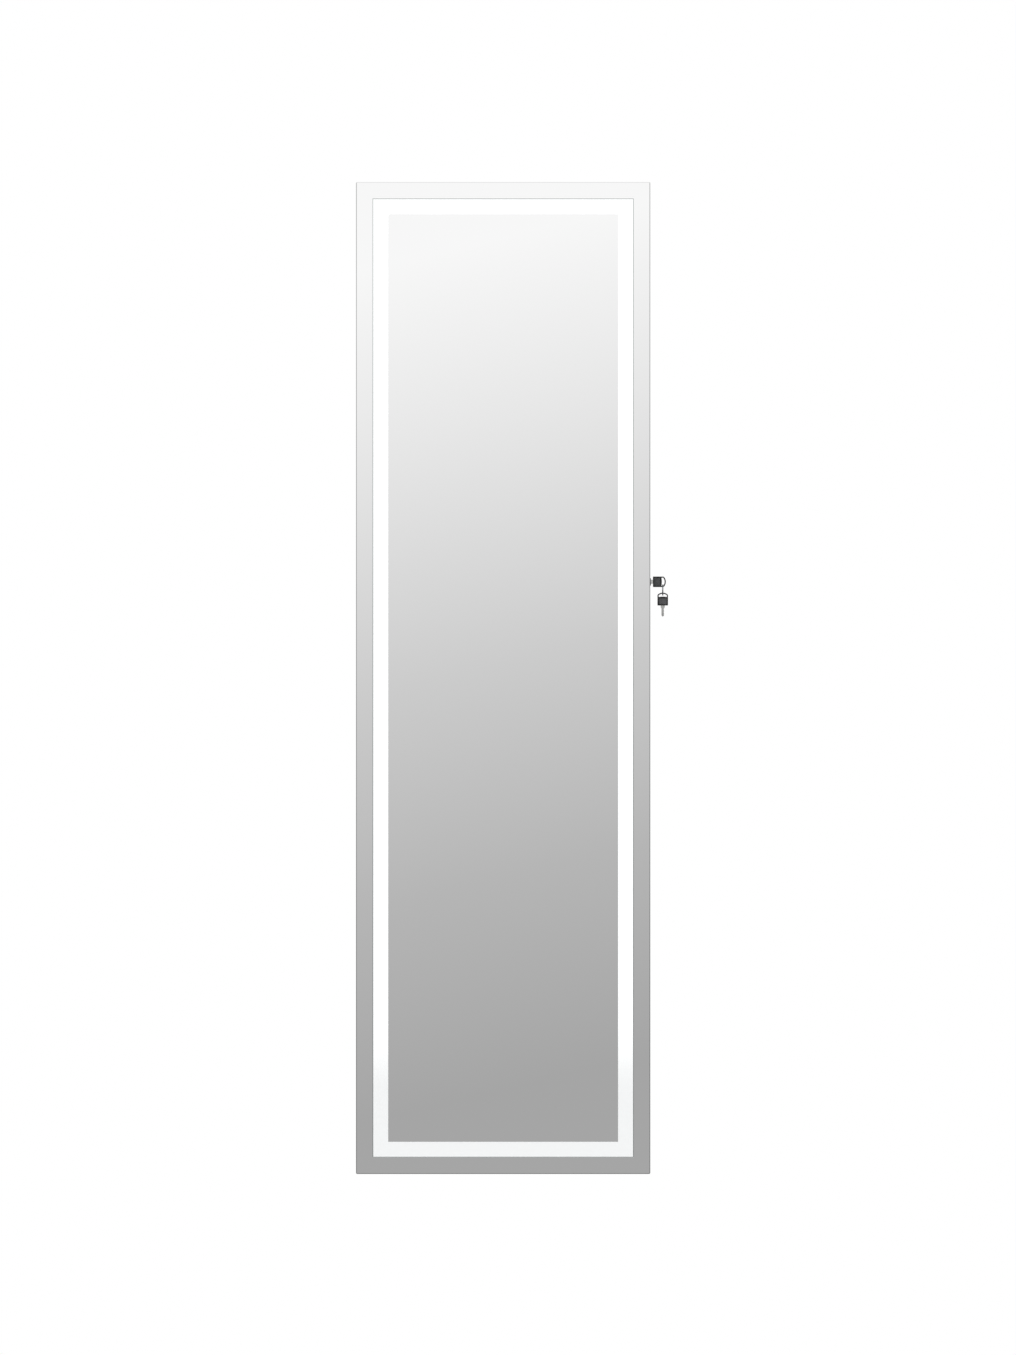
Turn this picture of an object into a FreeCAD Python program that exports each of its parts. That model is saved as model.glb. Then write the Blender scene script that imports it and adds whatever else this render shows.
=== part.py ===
"""Wall-hung jewellery cabinet whose door is a long mirror with a lit frosted band.

Millimetres. X runs to the right as one faces the mirror, -Y comes out of the wall, +Z is up.
The origin is the centre of the four wall-screw holes, on the plane of the wall, at mid-height.
"""
import FreeCAD, Part
import math
import os

V = FreeCAD.Vector

# ---- mirror glass --------------------------------------------------------------------------
glass_width = 356.0
glass_height = 1200.0
glass_thick = 4.0
glass_lip = 3.0              # how far the glass stands past the frame and carcass, all round
glass_corner_r = 1.5
glass_arris = 1.0            # polished bevel round the front edge
band_inset = 20.0            # edge of the glass to the frosted band
band_width = 19.0
band_depth = 1.0

# ---- carcass and door boards ---------------------------------------------------------------
carcass_depth = 64.0
board_thick = 12.0
back_thick = 3.0
back_rebate = 6.0
lining_thick = 2.0
seam = 2.0                   # gap between the carcass and the closed door
stile_width = 18.0
frame_depth = 30.0
door_recess = 15.0           # hollow at the back of the door
door_panel_thick = 3.0
board_ease_r = 1.0           # rounding of the outer edges of the boards
backing_gap = 3.0            # frosted band to the board behind the mirror

# ---- wall fixing ---------------------------------------------------------------------------
wall_rail_thick = 12.0
wall_rail_height = 50.0
wall_hole_r = 2.75
wall_hole_spacing = 240.0

# ---- fits ----------------------------------------------------------------------------------
fit_gap = 0.05               # round parts that turn or sit in a bore, per side
free_gap = 0.3               # parts that pass or rest near each other
flat_gap = 0.1               # flat parts that slide past each other

# ---- carcass screws ------------------------------------------------------------------------
panel_screw_r = 2.0
panel_screw_head_r = 4.0
panel_screw_length = 40.0
panel_screw_inset = 16.0     # from the front and back edges of the side panels

# ---- small screws --------------------------------------------------------------------------
small_screw_r = 1.3
small_screw_head_r = 2.2
small_screw_length = 11.0
cover_screw_length = 4.5
screw_tip_share = 0.2        # point of a screw, as a share of its shank
recess_arm_share = 0.6       # cross recess, as shares of the head
recess_slot_share = 0.12
recess_depth_share = 0.7

# ---- hinges --------------------------------------------------------------------------------
hinge_from_end = 117.0       # middle of the outer hinges, from the ends of the carcass
hinge_length = 51.0
knuckle_count = 5
knuckle_r = 3.0
hinge_pin_r = 1.25
leaf_gap = 0.2               # between the two closed leaves
leaf_edge = 0.5              # leaf short of the inner edge of the board
hinge_screw_spread = 34.0

# ---- shelves and divider -------------------------------------------------------------------
shelf_thick = 8.0
shelf_setback = 10.0         # front edges of the shelves behind the front of the carcass
middle_shelf_top = 24.0
lower_shelf_rises = (443.0, 283.0)      # above the bottom panel
guard_height = 26.0
guard_thick = 4.0
tray_front_height = 80.0
divider_left = 20.0
divider_thick = 8.0

# ---- necklace rail and hooks ---------------------------------------------------------------
necklace_rail_drop = 15.0    # below the wall rail
necklace_rail_height = 20.0
necklace_rail_thick = 12.0
hook_count = 9
hook_pitch = 18.0
hook_wire_r = 1.1
hook_reach = 16.0
hook_bend_r = 4.0
hook_tip = 5.0
hook_plug = 6.0              # length of the hook's shank inside the rail

# ---- bracelet rod --------------------------------------------------------------------------
rod_r = 4.0
rod_drop = 95.0              # below the top panel
rod_from_wall = 34.0
rod_seat = 4.0               # depth of the rod's end in the board

# ---- earring panel in the carcass ----------------------------------------------------------
earring_drop = 90.0          # below the bracelet rod
earring_height = 150.0
earring_stand = 17.0         # how far the panel's face stands from the lining
earring_sheet = 2.0
earring_slot_width = 1.8
earring_slot_height = 8.0
earring_columns = 9
earring_rows = 6
earring_slot_margin = 14.0

# ---- ring tray -----------------------------------------------------------------------------
ring_tray_height = 166.0
ring_tray_wall = 4.0
ring_tray_depth = 18.0
ring_roll_count = 8
ring_roll_rise = 3.0         # rolls stand proud of the tray's rim

# ---- lipstick rack -------------------------------------------------------------------------
rack_cells = 6
rack_cell = 20.0
rack_cell_deep = 24.0
rack_cell_drop = 26.0
rack_wall = 3.0
rack_from_side = 8.0

# ---- light ---------------------------------------------------------------------------------
diffuser_thick = 2.0
strip_width = 8.0
strip_thick = 0.4
chip_size = 5.0
chip_thick = 1.4
chip_pitch = 33.3

# ---- control box in the door ---------------------------------------------------------------
box_width = 118.0
box_height = 60.0
box_rise = 29.0              # above the bottom rail
box_wall = 1.6
box_cable_hole_r = 2.0
cover_lap = 5.0              # the cover reaches this far past the box
cover_thick = 2.0
cover_corner_r = 4.0
battery_width = 50.0
battery_height = 44.0
battery_thick = 7.0
battery_corner_r = 2.0
board_width = 46.0
board_height = 40.0
circuit_thick = 1.6
circuit_chip_high = 1.5
circuit_coil_r = 4.0
circuit_coil_high = 2.2
circuit_post_r = 2.0
circuit_post_inset = 4.0
wire_r = 0.9
lead_bend_r = 3.0

# ---- power button and charging inlet -------------------------------------------------------
button_r = 2.5
button_proud = 1.8
button_flange_r = 3.1
button_flange_thick = 1.5
button_stem = 8.0            # guide length in the housing
button_housing_r = 4.2
button_housing_top = 22.0    # height of the housing above the underside of the rail
button_cap_thick = 3.0       # closed end of the housing
button_rim_r = 0.5
spring_wire_r = 0.25
spring_r = 2.3
spring_turns = 5
inlet_x = 40.0
inlet_width = 9.0
inlet_thick = 3.2
inlet_wall = 0.4
inlet_deep = 6.0
inlet_length = 20.0
inlet_tongue_width = 6.6
inlet_tongue_thick = 0.7
inlet_tongue_length = 4.5

# ---- fittings on the back of the door ------------------------------------------------------
inner_mirror_width = 150.0
inner_mirror_height = 220.0
inner_mirror_drop = 139.0    # below the top rail
inner_mirror_thick = 3.0
inner_mirror_corner_r = 6.0
door_rail_count = 4
door_rail_pitch = 80.0
door_rail_from_stile = 27.0
door_rail_height = 12.0
door_rail_thick = 3.0
door_rail_end = 12.0
door_rail_setback = 1.5
door_notch_width = 2.0
door_notch_depth = 5.0
door_notch_pitch = 18.0

# ---- lock ----------------------------------------------------------------------------------
lock_height = 116.7
lock_from_seam = 7.5         # lock axis in front of the back face of the door
lock_body_r = 4.2
lock_collar_r = 4.7
lock_collar_thick = 4.2
lock_tail = 3.6              # barrel past the inner face of the stile
lock_nut_flats = 9.6
lock_nut_thick = 3.0
plug_r = 3.0
plug_flange_r = 3.6
plug_flange_thick = 1.0
cam_thick = 2.0
cam_hub_r = 4.5
cam_half_width = 3.0
cam_reach = 19.0
cam_finger_inner = 16.0
cam_finger_angle = 35.0      # sweep of the hooked finger
cam_screw_head_r = 2.2
cam_screw_head_thick = 1.2
cam_screw_r = 1.2
cam_screw_length = 6.0
cam_slot_half = 0.3
strike_pin_r = 1.5
strike_pin_angle = 20.0      # below the line from the lock axis to the wall
strike_pin_past = 1.6        # pin past the far face of the cam
strike_thick = 1.5
strike_top = 5.0             # plate above the lock axis
strike_bottom = 14.0         # plate below the lock axis
strike_length = 21.0
strike_front = 1.0           # plate behind the front edge of the carcass
strike_screw_spread = 11.0

# ---- keys ----------------------------------------------------------------------------------
key_head_width = 12.8
key_head_length = 15.6
key_body_length = 10.3       # solid part of the head, before the loop
key_body_crown = 0.5         # bulge of the solid part into the loop
key_loop_bar = 1.45
key_loop_rise = 2.6          # rise of the loop's outer arc over its ends
key_head_thick = 2.6
key_loop_thick = 2.0
key_corner_r = 0.8
key_loop_corner_r = 2.4      # where the loop's arc meets the sides of the head
key_opening_corner_r = 0.5
key_inset = 1.6              # border round the sunk face of the head
key_inset_depth = 0.3
key_shoulder_length = 2.4
key_shoulder_width = 5.0
key_shoulder_taper = 0.9     # slope from the shoulder to the blade, in the mouth of the keyway
key_blade_length = 11.2
key_blade_width = 3.1
key_blade_thick = 1.4
key_tang = 6.0
key_cut_depth = 0.7
key_cut_count = 4
ring_wire_r = 0.7
ring_bar_gap = 0.3           # ring clear of the corners of the bar it hangs on
keys_drop = 8.2              # from the bar of the upper key to the bar of the hanging key

# ---- catches and bumpers -------------------------------------------------------------------
catch_from_end = 157.0       # middle of a catch, from the end of the carcass
catch_length = 44.0
catch_width = 14.0
catch_depth = 12.0
catch_corner_r = 2.0
catch_plate_thick = 1.2
catch_plate_leg = 11.0
catch_plate_length = 30.0
catch_screw_share = 0.6      # screw down the plate's leg, as a share of the leg
bumper_from_end = 27.0
bumper_r = 4.0

# ---- worked out ----------------------------------------------------------------------------
half_turn = math.sin(math.radians(45))     # middle of a quarter bend, as a share of its radius
half_w = glass_width / 2 - glass_lip
half_h = glass_height / 2 - glass_lip
in_w = half_w - board_thick
in_h = half_h - board_thick
y_front = -carcass_depth
y_door = y_front - seam
y_panel = y_door - door_recess
y_chamber = y_panel - door_panel_thick
y_glass = y_door - frame_depth
y_face = y_glass - glass_thick
y_lining = -back_thick - lining_thick
y_shelf = y_front + shelf_setback
stile_in = half_w - stile_width
rail_in = half_h - stile_width
band_out_w = glass_width / 2 - band_inset
band_out_h = glass_height / 2 - band_inset
band_in_w = band_out_w - band_width
band_in_h = band_out_h - band_width
backing_w = band_in_w - backing_gap
backing_h = band_in_h - backing_gap
strip_w = (backing_w + stile_in) / 2
strip_h = (backing_h + rail_in) / 2
hinge_axis = V(-half_w, y_front - seam / 2, 0)
hinge_heights = (hinge_from_end - half_h, 0.0, half_h - hinge_from_end)
leaf_thick = (seam - leaf_gap) / 2
leaf_start = knuckle_r + free_gap + flat_gap
leaf_end = board_thick - leaf_edge
hinge_screw_x = (leaf_start + leaf_end) / 2
divider_right = divider_left + divider_thick
lower_shelf_tops = [rise - in_h for rise in lower_shelf_rises]
necklace_rail_top = in_h - wall_rail_height - necklace_rail_drop
rod_height = in_h - rod_drop
earring_top = rod_height - earring_drop
earring_bottom = earring_top - earring_height
rack_left = rack_from_side - in_w
box_bottom = box_rise - rail_in
door_rail_half = stile_in - door_rail_from_stile
door_rail_tops = [((door_rail_count - 1) / 2 - i) * door_rail_pitch for i in range(door_rail_count)]
catch_heights = (catch_from_end - half_h, half_h - catch_from_end)
bumper_heights = (bumper_from_end - half_h, half_h - bumper_from_end)
button_ledge = button_stem - half_h
button_flange = button_ledge + flat_gap
button_flange_top = button_flange + button_flange_thick
button_roof = button_housing_top - button_cap_thick - half_h
lock_y = y_door - lock_from_seam
lock_face = half_w + lock_collar_thick
lock_tail_x = stile_in - lock_tail
cam_x = lock_tail_x - free_gap
strike_pin_reach = cam_finger_inner - free_gap - strike_pin_r
key_x = lock_face + flat_gap + key_shoulder_length
key_bar = (key_head_width - key_loop_bar) / 2
ring_hang = math.hypot(key_loop_thick, key_loop_bar) / 2 + ring_bar_gap + ring_wire_r
ring_r = keys_drop / 2 + ring_hang
loop_r = ((key_head_width / 2) ** 2 + key_loop_rise ** 2) / (2 * key_loop_rise)
loop_inner_r = loop_r - key_loop_bar
loop_centre = key_head_length - loop_r


def box(x0, x1, y0, y1, z0, z1):
    """A block between two corners, given in any order."""
    low = V(min(x0, x1), min(y0, y1), min(z0, z1))
    return Part.makeBox(abs(x1 - x0), abs(y1 - y0), abs(z1 - z0), low)


def rod(start, direction, radius, length):
    return Part.makeCylinder(radius, length, start, direction)


def frame_ring(out_w, out_h, in_w_, in_h_, y0, y1):
    """A flat rectangular ring lying parallel to the glass."""
    return box(-out_w, out_w, y0, y1, -out_h, out_h).cut(box(-in_w_, in_w_, y0, y1, -in_h_, in_h_))


def placed(shape, point, rotation):
    """The shape turned about its own origin, which then goes to the point."""
    shape.Placement = FreeCAD.Placement(point, rotation).multiply(shape.Placement)
    return shape


def turned_to(shape, point, direction):
    """The shape moved so that its own +Z points along the direction from the point."""
    return placed(shape, point, FreeCAD.Rotation(V(0, 0, 1), direction))


def fused(shapes):
    whole = shapes[0]
    for shape in shapes[1:]:
        whole = whole.fuse(shape)
    return whole.removeSplitter()


def less(shape, cutters):
    return shape.cut(Part.makeCompound(cutters))


def eased(board, corners):
    """The board with the edges rounded that lie wholly on two or more of the given outer planes."""
    def on(edge, axis, value):
        low, high = getattr(edge.BoundBox, axis + "Min"), getattr(edge.BoundBox, axis + "Max")
        return abs(low - value) < 0.01 and abs(high - value) < 0.01
    picked = [edge for edge in board.Edges if sum(on(edge, axis, value) for axis, value in corners) > 1]
    return board.makeFillet(board_ease_r, picked)


def screw(point, into, head_r, shank_r, length):
    """Countersunk wood screw with a cross recess and a short point."""
    cone = head_r - shank_r
    straight = length - shank_r
    head = Part.makeCone(head_r, shank_r, cone)
    shank = rod(V(0, 0, cone), V(0, 0, 1), shank_r, straight - cone)
    tip = Part.makeCone(shank_r, shank_r * screw_tip_share, shank_r, V(0, 0, straight))
    arm = head_r * recess_arm_share
    slot = head_r * recess_slot_share
    deep = cone * recess_depth_share
    cross = box(-arm, arm, -slot, slot, 0, deep).fuse(box(-slot, slot, -arm, arm, 0, deep))
    return turned_to(fused([head, shank, tip]).cut(cross), point, into)


def screw_hole(point, into, head_r, shank_r, length):
    """The countersink and pilot hole that the screw sits in."""
    cone = head_r - shank_r
    sink = Part.makeCone(head_r + fit_gap, shank_r + fit_gap, cone)
    pilot = rod(V(0, 0, 0), V(0, 0, 1), shank_r + fit_gap, length + fit_gap)
    return turned_to(sink.fuse(pilot), point, into)


def screws_at(places, head_r, shank_r, length):
    return [screw(point, into, head_r, shank_r, length) for point, into in places]


def holes_at(places, head_r, shank_r, length):
    return [screw_hole(point, into, head_r, shank_r, length) for point, into in places]


def edges_along(shape, axis):
    """The straight edges that run along the axis."""
    return [edge for edge in shape.Edges
            if isinstance(edge.Curve, Part.Line) and edge.Curve.Direction.isParallel(axis, 0.01)]


def save(name, shape):
    shape.exportStep("parts/" + name + ".step")
    print(f"{name:24s} solids {len(shape.Solids):3d}  volume {shape.Volume:12.1f}  valid {shape.isValid()}")


# ---- places shared by screws and the holes they fill ---------------------------------------
PANEL = (panel_screw_head_r, panel_screw_r, panel_screw_length)
SMALL = (small_screw_head_r, small_screw_r, small_screw_length)
COVER = (small_screw_head_r, small_screw_r, cover_screw_length)


def panel_screw_places(side):
    """Two screws into each end of the top and bottom panels, from one side."""
    heights = (half_h - board_thick / 2, board_thick / 2 - half_h)
    depths = (-panel_screw_inset, y_front + panel_screw_inset)
    return [(V(side * half_w, y, z), V(-side, 0, 0)) for z in heights for y in depths]


def all_panel_screw_places():
    return panel_screw_places(-1) + panel_screw_places(1)


def leaf_screw_places(side):
    """Hinge screws: side +1 goes into the carcass, -1 into the door."""
    y = hinge_axis.y + side * (seam / 2 - leaf_thick)
    x = hinge_axis.x + hinge_screw_x
    places = []
    for z in hinge_heights:
        for shift in (-hinge_screw_spread / 2, hinge_screw_spread / 2):
            places.append((V(x, y, z + shift), V(0, side, 0)))
    return places


def strike_screw_places():
    y = y_front + strike_front + strike_length - strike_screw_spread / 2
    mid = lock_height + (strike_top - strike_bottom) / 2
    return [(V(in_w - strike_thick, y, mid + shift), V(1, 0, 0))
            for shift in (-strike_screw_spread / 2, strike_screw_spread / 2)]


def catch_plate_screw_places():
    y = y_door - catch_plate_leg * catch_screw_share
    return [(V(stile_in - catch_plate_thick, y, z), V(1, 0, 0)) for z in catch_heights]


def cover_screw_places():
    x = box_width / 2 + cover_lap / 2 - small_screw_head_r
    low = box_bottom - cover_lap / 2 + small_screw_head_r
    high = box_bottom + box_height + cover_lap / 2 - small_screw_head_r
    y = y_panel + cover_thick
    return [(V(sx * x, y, z), V(0, -1, 0)) for sx in (-1, 1) for z in (low, high)]


# ---- carcass -------------------------------------------------------------------------------
def hinge_reliefs():
    """Round channels in the board edges that the hinge knuckles lie in."""
    length = hinge_length + 2 * free_gap
    return [rod(V(hinge_axis.x, hinge_axis.y, z - length / 2), V(0, 0, 1), knuckle_r + free_gap, length)
            for z in hinge_heights]


def back_panel_space():
    x, z = in_w + back_rebate, in_h + back_rebate
    return box(-x, x, 0, -back_thick, -z, z)


def rod_seat_hole(x, direction):
    return rod(V(x, -rod_from_wall, rod_height), V(direction, 0, 0), rod_r + fit_gap, rod_seat)


def side_panels():
    ends = [("Y", 0), ("Y", y_front), ("Z", -half_h), ("Z", half_h)]
    left = eased(box(-half_w, -in_w, 0, y_front, -half_h, half_h), [("X", -half_w)] + ends)
    right = eased(box(in_w, half_w, 0, y_front, -half_h, half_h), [("X", half_w)] + ends)
    left = less(left, [back_panel_space()] + hinge_reliefs())
    left = less(left, holes_at(panel_screw_places(-1), *PANEL))
    left = less(left, holes_at(leaf_screw_places(1), *SMALL))
    right = less(right, [back_panel_space(), rod_seat_hole(in_w, 1)])
    right = less(right, holes_at(panel_screw_places(1), *PANEL))
    right = less(right, holes_at(strike_screw_places(), *SMALL))
    return left, right


def end_panel(side):
    """Top (+1) or bottom (-1) board between the side panels."""
    board = box(-in_w, in_w, 0, y_front, side * in_h, side * half_h)
    board = eased(board, [("Y", 0), ("Y", y_front), ("Z", side * half_h)])
    return less(board, [back_panel_space()] + holes_at(all_panel_screw_places(), *PANEL))


def wall_holes():
    x, z = wall_hole_spacing / 2, in_h - wall_rail_height / 2
    through = wall_rail_thick + back_thick + 2
    return [rod(V(sx * x, 1, sz * z), V(0, -1, 0), wall_hole_r, through) for sx in (-1, 1) for sz in (-1, 1)]


def wall_rails():
    rails = []
    for side in (-1, 1):
        low, high = side * (in_h - wall_rail_height), side * in_h
        rails.append(box(-in_w, in_w, -back_thick, -back_thick - wall_rail_thick, low, high))
    return Part.makeCompound([less(rail, wall_holes()) for rail in rails])


def velvet_lining():
    edge = in_h - wall_rail_height
    return box(-in_w, in_w, -back_thick, y_lining, -edge, edge)


def shelf(top):
    board = box(-in_w, in_w, y_lining, y_shelf, top - shelf_thick, top)
    return eased(board, [("Y", y_shelf), ("Z", top), ("Z", top - shelf_thick)])


def middle_shelf():
    return shelf(middle_shelf_top)


def vertical_divider():
    board = box(divider_left, divider_right, y_lining, y_shelf, middle_shelf_top, in_h)
    notch = box(divider_left, divider_right, 0, -back_thick - wall_rail_thick, in_h - wall_rail_height, in_h)
    return less(board, [notch, rod_seat_hole(divider_right, -1)])


def lower_shelves():
    return Part.makeCompound([shelf(top) for top in lower_shelf_tops])


def shelf_guards():
    """A lip in front of each lower shelf, and the taller one of the tray at the bottom."""
    spans = [(top - shelf_thick, top + guard_height) for top in lower_shelf_tops]
    spans.append((-in_h, tray_front_height - in_h))
    front = y_shelf - guard_thick
    lips = [eased(box(-in_w, in_w, y_shelf, front, low, high), [("Y", front), ("Y", y_shelf), ("Z", high)])
            for low, high in spans]
    return Part.makeCompound(lips)


# ---- things that hold jewellery ------------------------------------------------------------
def hook_positions():
    middle = (divider_left - in_w) / 2
    return [middle + (i - (hook_count - 1) / 2) * hook_pitch for i in range(hook_count)]


def hook_base():
    return y_lining - necklace_rail_thick, necklace_rail_top - necklace_rail_height / 2


def necklace_rail():
    y, z = hook_base()
    rail = box(-in_w, divider_left, y_lining, y, necklace_rail_top - necklace_rail_height, necklace_rail_top)
    return less(rail, [rod(V(x, y + hook_plug, z), V(0, -1, 0), hook_wire_r + fit_gap, hook_plug)
                       for x in hook_positions()])


def necklace_hook(x):
    """Wire hook: out of the rail, round a quarter bend and up."""
    y, z = hook_base()
    bend = V(x, y - hook_reach, z)
    middle = V(x, bend.y - hook_bend_r * half_turn, z + hook_bend_r * (1 - half_turn))
    up = V(x, bend.y - hook_bend_r, z + hook_bend_r)
    path = Part.Wire([Part.LineSegment(V(x, y + hook_plug, z), bend).toShape(),
                      Part.Arc(bend, middle, up).toShape(),
                      Part.LineSegment(up, up + V(0, 0, hook_tip)).toShape()])
    section = Part.Wire(Part.Circle(V(x, y + hook_plug, z), V(0, 1, 0), hook_wire_r).toShape())
    wire = path.makePipeShell([section], True, False)
    return wire.fuse(Part.makeSphere(hook_wire_r, up + V(0, 0, hook_tip))).removeSplitter()


def necklace_hooks():
    return Part.makeCompound([necklace_hook(x) for x in hook_positions()])


def bracelet_rod():
    start = V(divider_right - rod_seat, -rod_from_wall, rod_height)
    return rod(start, V(1, 0, 0), rod_r, in_w - divider_right + 2 * rod_seat)


def earring_panel():
    """Slotted sheet on two returned edges, leaving room for pins and hooks behind it."""
    x0, x1 = divider_right, in_w
    face = y_lining - earring_stand
    inside = face + earring_sheet
    panel = box(x0, x1, y_lining, face, earring_bottom, earring_top)
    hollow = box(x0 + earring_sheet, x1 - earring_sheet, y_lining, inside, earring_bottom, earring_top)
    span_x = (x1 - x0) - 2 * earring_slot_margin
    span_z = earring_height - 2 * earring_slot_margin
    wide, high = earring_slot_width / 2, earring_slot_height / 2
    slots = []
    for i in range(earring_columns):
        x = x0 + earring_slot_margin + span_x * i / (earring_columns - 1)
        for j in range(earring_rows):
            z = earring_bottom + earring_slot_margin + span_z * j / (earring_rows - 1)
            slots.append(box(x - wide, x + wide, face - 1, inside + 1, z - high, z + high))
    return less(panel.cut(hollow), slots)


def ring_tray_inside():
    x0, x1 = divider_right + flat_gap + ring_tray_wall, in_w - flat_gap - ring_tray_wall
    z0 = middle_shelf_top + ring_tray_wall
    return x0, x1, z0, middle_shelf_top + ring_tray_height - ring_tray_wall


def ring_tray():
    x0, x1, z0, z1 = ring_tray_inside()
    wall = ring_tray_wall
    block = box(x0 - wall, x1 + wall, y_lining, y_lining - ring_tray_depth, z0 - wall, z1 + wall)
    return block.cut(box(x0, x1, y_lining - wall, y_lining - ring_tray_depth - 1, z0, z1))


def ring_roll(x0, x1, z, radius, y_seat):
    """One padded roll, flat where it lies on the tray and round in front."""
    y_mid = y_seat - (ring_tray_depth - ring_tray_wall + ring_roll_rise - radius)
    low, high = x0 + free_gap, x1 - free_gap
    front = rod(V(low, y_mid, z), V(1, 0, 0), radius, high - low)
    front = front.common(box(low, high, y_mid, y_mid - radius, z - radius, z + radius))
    rear = box(low, high, y_mid, y_seat - free_gap, z - radius, z + radius)
    return fused([front, rear])


def ring_rolls():
    x0, x1, z0, z1 = ring_tray_inside()
    pitch = (z1 - z0) / ring_roll_count
    radius = (pitch - free_gap) / 2
    rolls = [ring_roll(x0, x1, z0 + pitch * (i + 0.5), radius, y_lining - ring_tray_wall)
             for i in range(ring_roll_count)]
    return Part.makeCompound(rolls)


def lipstick_rack():
    base = lower_shelf_tops[1]
    pitch = rack_cell + rack_wall
    width = rack_cells * pitch + rack_wall
    back = y_lining - rack_wall
    deep = rack_cell_deep + 2 * rack_wall
    height = rack_cell_drop + rack_wall
    front, top = back - deep, base + height
    block = box(rack_left, rack_left + width, back, front, base, top)
    cells = []
    for i in range(rack_cells):
        x = rack_left + rack_wall + i * pitch
        cells.append(box(x, x + rack_cell, back - rack_wall, front + rack_wall, base + rack_wall, top + 1))
    return less(block, cells)


# ---- hinges --------------------------------------------------------------------------------
def hinge_leaf(z, side):
    """One leaf with its knuckles: side +1 on the carcass, -1 on the door."""
    pitch = hinge_length / knuckle_count
    y0 = hinge_axis.y + side * leaf_gap / 2
    y1 = hinge_axis.y + side * seam / 2
    x = hinge_axis.x
    bottom = z - hinge_length / 2
    pieces = [box(x + leaf_start, x + leaf_end, y0, y1, bottom, bottom + hinge_length)]
    first = 0 if side > 0 else 1
    for i in range(first, knuckle_count, 2):
        low = bottom + i * pitch + flat_gap
        high = bottom + (i + 1) * pitch - flat_gap
        pieces.append(box(x, x + leaf_start, y0, y1, low, high))
        pieces.append(rod(V(x, hinge_axis.y, low), V(0, 0, 1), knuckle_r, high - low))
    leaf = fused(pieces)
    bore = rod(V(x, hinge_axis.y, bottom), V(0, 0, 1), hinge_pin_r + fit_gap, hinge_length)
    return leaf.cut(bore)


def hinge_leaves(side):
    holes = holes_at(leaf_screw_places(side), *SMALL)
    return Part.makeCompound([less(hinge_leaf(z, side), holes) for z in hinge_heights])


def hinge_pins():
    pins = []
    for z in hinge_heights:
        start = V(hinge_axis.x, hinge_axis.y, z - hinge_length / 2 + flat_gap)
        pins.append(rod(start, V(0, 0, 1), hinge_pin_r, hinge_length - 2 * flat_gap))
    return Part.makeCompound(pins)


# ---- catches and strike --------------------------------------------------------------------
def magnet_catches():
    catches = []
    for z in catch_heights:
        low, high = z - catch_length / 2, z + catch_length / 2
        front = y_front - seam + free_gap
        housing = box(in_w - catch_width, in_w, front + catch_depth, front, low, high)
        outer = [edge for edge in edges_along(housing, V(0, 1, 0)) if edge.CenterOfMass.x < in_w - 1]
        catches.append(housing.makeFillet(catch_corner_r, outer))
    return Part.makeCompound(catches)


def catch_plates():
    plates = []
    for z in catch_heights:
        low, high = z - catch_plate_length / 2, z + catch_plate_length / 2
        face = box(in_w - catch_width, stile_in, y_door, y_door - catch_plate_thick, low, high)
        leg = box(stile_in - catch_plate_thick, stile_in, y_door, y_door - catch_plate_leg, low, high)
        plates.append(less(fused([face, leg]), holes_at(catch_plate_screw_places(), *SMALL)))
    return Part.makeCompound(plates)


def door_bumpers():
    x = half_w - board_thick / 2
    high = seam - free_gap
    return Part.makeCompound([rod(V(x, y_front, z), V(0, -1, 0), bumper_r, high) for z in bumper_heights])


def strike_pin_centre():
    angle = math.radians(strike_pin_angle)
    return lock_y + strike_pin_reach * math.cos(angle), lock_height - strike_pin_reach * math.sin(angle)


def strike_bracket():
    """Plate on the carcass with the pin that the lock's hook closes behind."""
    front = y_front + strike_front
    plate = box(in_w - strike_thick, in_w, front, front + strike_length,
                lock_height - strike_bottom, lock_height + strike_top)
    y, z = strike_pin_centre()
    tip = cam_x - cam_thick - strike_pin_past
    pin = rod(V(tip, y, z), V(1, 0, 0), strike_pin_r, in_w - strike_thick - tip)
    return less(fused([plate, pin]), holes_at(strike_screw_places(), *SMALL))


def cabinet_fitting_screws():
    places = leaf_screw_places(1) + strike_screw_places()
    return Part.makeCompound(screws_at(places, *SMALL))


# ---- door frame ----------------------------------------------------------------------------
def lock_bore():
    return rod(V(stile_in, lock_y, lock_height), V(1, 0, 0), lock_body_r + fit_gap, stile_width)


def stiles():
    ends = [("Y", y_door), ("Z", -half_h), ("Z", half_h)]
    left = eased(box(-half_w, -stile_in, y_door, y_glass, -half_h, half_h), [("X", -half_w)] + ends)
    right = eased(box(stile_in, half_w, y_door, y_glass, -half_h, half_h), [("X", half_w)] + ends)
    left = less(left, hinge_reliefs() + holes_at(leaf_screw_places(-1), *SMALL))
    right = less(right, [lock_bore()] + holes_at(catch_plate_screw_places(), *SMALL))
    return left, right


def top_rail():
    return eased(box(-stile_in, stile_in, y_door, y_glass, rail_in, half_h), [("Y", y_door), ("Z", half_h)])


def button_y():
    """The button's axis lies midway between the light chamber's floor and the diffuser."""
    return (y_chamber + y_glass + diffuser_thick) / 2


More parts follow.
